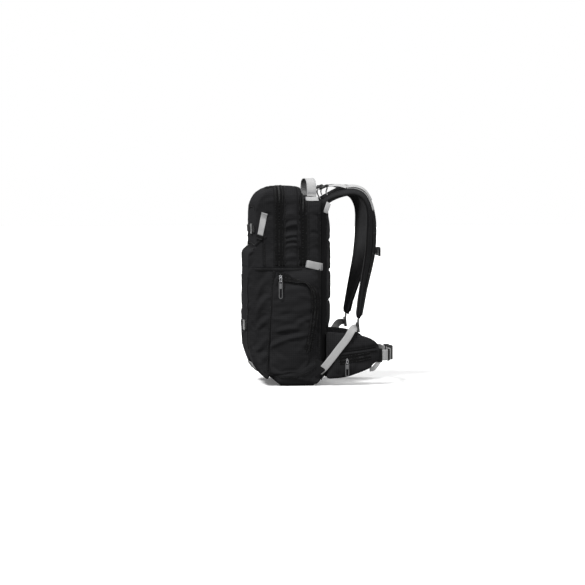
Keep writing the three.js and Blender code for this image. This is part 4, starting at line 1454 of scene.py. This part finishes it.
def ring_line(suffix, prefix, place, top, bottom, half_width, radius, body, material):
    """A long closed loop in the plane x = constant."""
    x, y = place
    middle, reach = (top + bottom) / 2, (top - bottom) / 2 - half_width
    count, sides = 40, 8
    verts = []
    for k in range(count):
        angle = 2 * math.pi * k / count
        cy = math.cos(angle) * half_width
        cz = math.sin(angle) * half_width + math.copysign(reach, math.sin(angle))
        for j in range(sides):
            a = 2 * math.pi * j / sides
            ny, nz = math.cos(angle) * math.cos(a) * radius, math.sin(angle) * math.cos(a) * radius
            verts.append((x + math.sin(a) * radius, y + cy + ny, middle + cz + nz))
    mesh = mesh_from(prefix + suffix, verts, quads(count, sides, wrap=True))
    face_outwards(mesh)
    return piece(prefix + suffix, mesh, body, "acetal", material)


def grip_mesh(name, centre, half_width, half_length):
    """Moulded grip: a waisted capsule with ribs across it."""
    verts, rings, sides = [], 25, 14
    for k in range(rings):
        t = -1 + 2 * k / (rings - 1)
        cap = math.sqrt(max(0.0, 1 - abs(t) ** 4)) * 0.9 + 0.1
        ribs = 1 + 0.07 * math.cos(t * 17)
        for j in range(sides):
            a = 2 * math.pi * j / sides
            width = half_width * cap * ribs * (1 - 0.14 * (1 - t * t))
            x, y = centre[0] + math.sin(a) * width * 0.42, centre[1] + math.cos(a) * width
            verts.append((x, y, centre[2] + t * half_length))
    ends = [tuple(range(sides)), tuple(range((rings - 1) * sides, rings * sides))]
    mesh = mesh_from(name, verts, quads(rings, sides) + ends)
    face_outwards(mesh)
    return mesh


def build_pulls():
    for side_name, _ in SIDES:
        for kind in ("side", "hip"):
            slider, pull = f"{kind}_zip_slider_{side_name}", f"{kind}_zip_pull_{side_name}"
            build_pull(f"{kind}_pull_{side_name}", slider, pull, slider, pull)
    for node in ("front_zip_slider", "main_zip_slider"):
        softened(node + "_moulded", node, node, "acetal", GUNMETAL, 0.0005)


def dress_inner_parts():
    """Materials for the structural parts inside, and fabric for the base and the bladder sleeve."""
    for node, material in (("frame_sheet", SHEET_PLASTIC), ("frame_stay", STAY_METAL)):
        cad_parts[node].data.materials.clear()
        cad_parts[node].data.materials.append(material)
    softened("base_boot", "base_panel", PACK_BODY, "ripstop", PACKCLOTH, 0.0012, 3)

    def hold(co, normal):
        return (abs(normal[:, 1]) < 0.6) | (normal[:, 1] > 0)

    name, node = "hydration_sleeve_pocket", "hydration_sleeve"
    puffed(name, node, PACK_BODY, LINING, hold, 0.006, cap=0.004)


def build_divider():
    """The divider that fronts the middle section, and the rim and hinge strip that join it to the bag."""
    # The front face of the CAD solid, as even points around its middle
    spots = [v.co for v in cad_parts["main_flap"].data.vertices if v.co.y < FLAP_ZIP_Y + MM]
    corners = {(round(co.x, 5), round(co.z, 5)) for co in spots}
    outline = sorted(corners, key=lambda p: math.atan2(p[1] - CROWN_Z, p[0]))
    loop = even_points(np.array([(x, 0.0, z - CROWN_Z) for x, z in outline + outline[:1]]), 97)[:-1]
    count = len(loop)
    rings = [loop * [share, 1, share] for share in (0.982, 0.8, 0.6, 0.4, 0.2)]
    co = np.vstack(rings + [np.zeros((1, 3))]) + [0, FLAP_ZIP_Y + 2.2 * MM, CROWN_Z]
    inner = np.repeat([0, 1, 1, 1, 1, 1], [count] * 5 + [1])
    co[:, 1] += inner * 0.0014 * noise_field(co, 22.0, 5)
    fan = [(4 * count + k, 4 * count + (k + 1) % count, 5 * count) for k in range(count)]
    mesh = mesh_from("divider_panel", co, quads(5, count) + fan)
    panel = thicken(piece("divider_panel", mesh, FLAP_BODY, "lining", LINING), 0.0016)

    # The rim follows the inside of the bag's front from one end of the middle section to the other
    centre = np.array([0, FLAP_ZIP_Y + 2 * MM, SPLIT_Z + 8 * MM])
    spokes = np.array([(math.cos(a), -math.sin(a), 0) for a in np.linspace(0, math.pi, 160)])
    path, out = evened(*cast(SKIN, list(centre + RAY_START * spokes), list(-spokes)), 110)
    mesh = sweep("flap_rim", path - out * 0.0060, out, tape_section(0.013, 0.0016))
    piece("flap_rim", mesh, FLAP_BODY, "lining", LINING)

    # The strip crosses the hinge line inside the front wall
    path, out = on_front(SKIN, [(x, SPLIT_Z / MM) for x in (-82, -40, 0, 40, 82)], 60)
    mesh = sweep("flap_hinge", path - out * 0.0042, out, tape_section(0.016, 0.0010))
    hinge = new_object("flap_hinge", mesh, PACKCLOTH)
    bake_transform(hinge)


build_shoulder_straps()
build_load_lifters()
build_lower_webbing()
build_yoke()
build_handle()
build_belt()
build_sternum()
build_front_buckles()
build_pulls()
dress_inner_parts()
build_divider()


# ---------------------------------------------------------------- stage
AMBIENT = 0.28  # the white background's light on the pack; the camera sees it at full strength


def build_stage():
    bpy.ops.mesh.primitive_plane_add(size=40)
    floor = bpy.context.object
    floor.name = "studio_floor"
    shader = Shader("studio_floor")
    tone = shader.remap(shader.noise(2.0, 2.0), 0.3, 0.7, 0.0, 1.0)
    shader.uniform({"Emission Color": grey(1.0), "Emission Strength": 0.12})
    floor.data.materials.append(shader.finish(shader.blend(tone, grey(0.9), grey(0.93)), 0.75))
    floor.visible_diffuse = False
    floor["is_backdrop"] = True
    world = bpy.data.worlds.new("studio")
    bpy.context.scene.world = world
    world.use_nodes = True
    sky = world.node_tree
    seen = sky.nodes.new("ShaderNodeLightPath").outputs["Is Camera Ray"]
    level = sky.nodes.new("ShaderNodeMapRange")
    level.inputs["To Min"].default_value = AMBIENT
    level.inputs["To Max"].default_value = 1.0
    sky.links.new(seen, level.inputs["Value"])
    sky.links.new(level.outputs[0], sky.nodes["Background"].inputs[1])
    sky.nodes["Background"].inputs[0].default_value = grey(1.0)
    for name, toward, irradiance, spread in (
        ("key", (0.85, -1.0, 1.65), 3.9, 14),
        ("rim", (-0.8, -0.3, 1.5), 1.3, 34),
        ("fill", (1.0, 0.3, 0.2), 1.1, 30),
        ("back", (0.1, 1.0, 0.7), 1.1, 40),
    ):
        data = bpy.data.lights.new(name, "SUN")
        data.energy = irradiance
        data.angle = math.radians(spread)
        lamp = bpy.data.objects.new(name, data)
        bpy.context.scene.collection.objects.link(lamp)
        lamp.location = toward
        lamp.rotation_euler = Vector(toward).to_track_quat("Z", "Y").to_euler()


def build_camera():
    """Level with the pack, a little in front of its right side, with a long lens."""
    azimuth, elevation, distance = math.radians(83), math.radians(3), 6.0
    view_width = 1.638
    target = Vector((0, 0.0127, 0.2505))
    data = bpy.data.cameras.new("camera")
    data.sensor_width = 36.0
    data.lens = data.sensor_width * distance / view_width
    camera = bpy.data.objects.new("camera", data)
    bpy.context.scene.collection.objects.link(camera)
    level = math.cos(elevation)
    toward = Vector((math.sin(azimuth) * level, -math.cos(azimuth) * level, math.sin(elevation)))
    camera.location = target + toward * distance
    camera.rotation_euler = (-toward).to_track_quat("-Z", "Y").to_euler()
    bpy.context.scene.camera = camera
    bpy.context.scene.view_settings.view_transform = "Standard"


build_stage()
build_camera()

boxes = {"cad": CAD_BOX, "visual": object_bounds()}
{k: [[float(c) for c in p] for p in box] for k, box in boxes.items()}
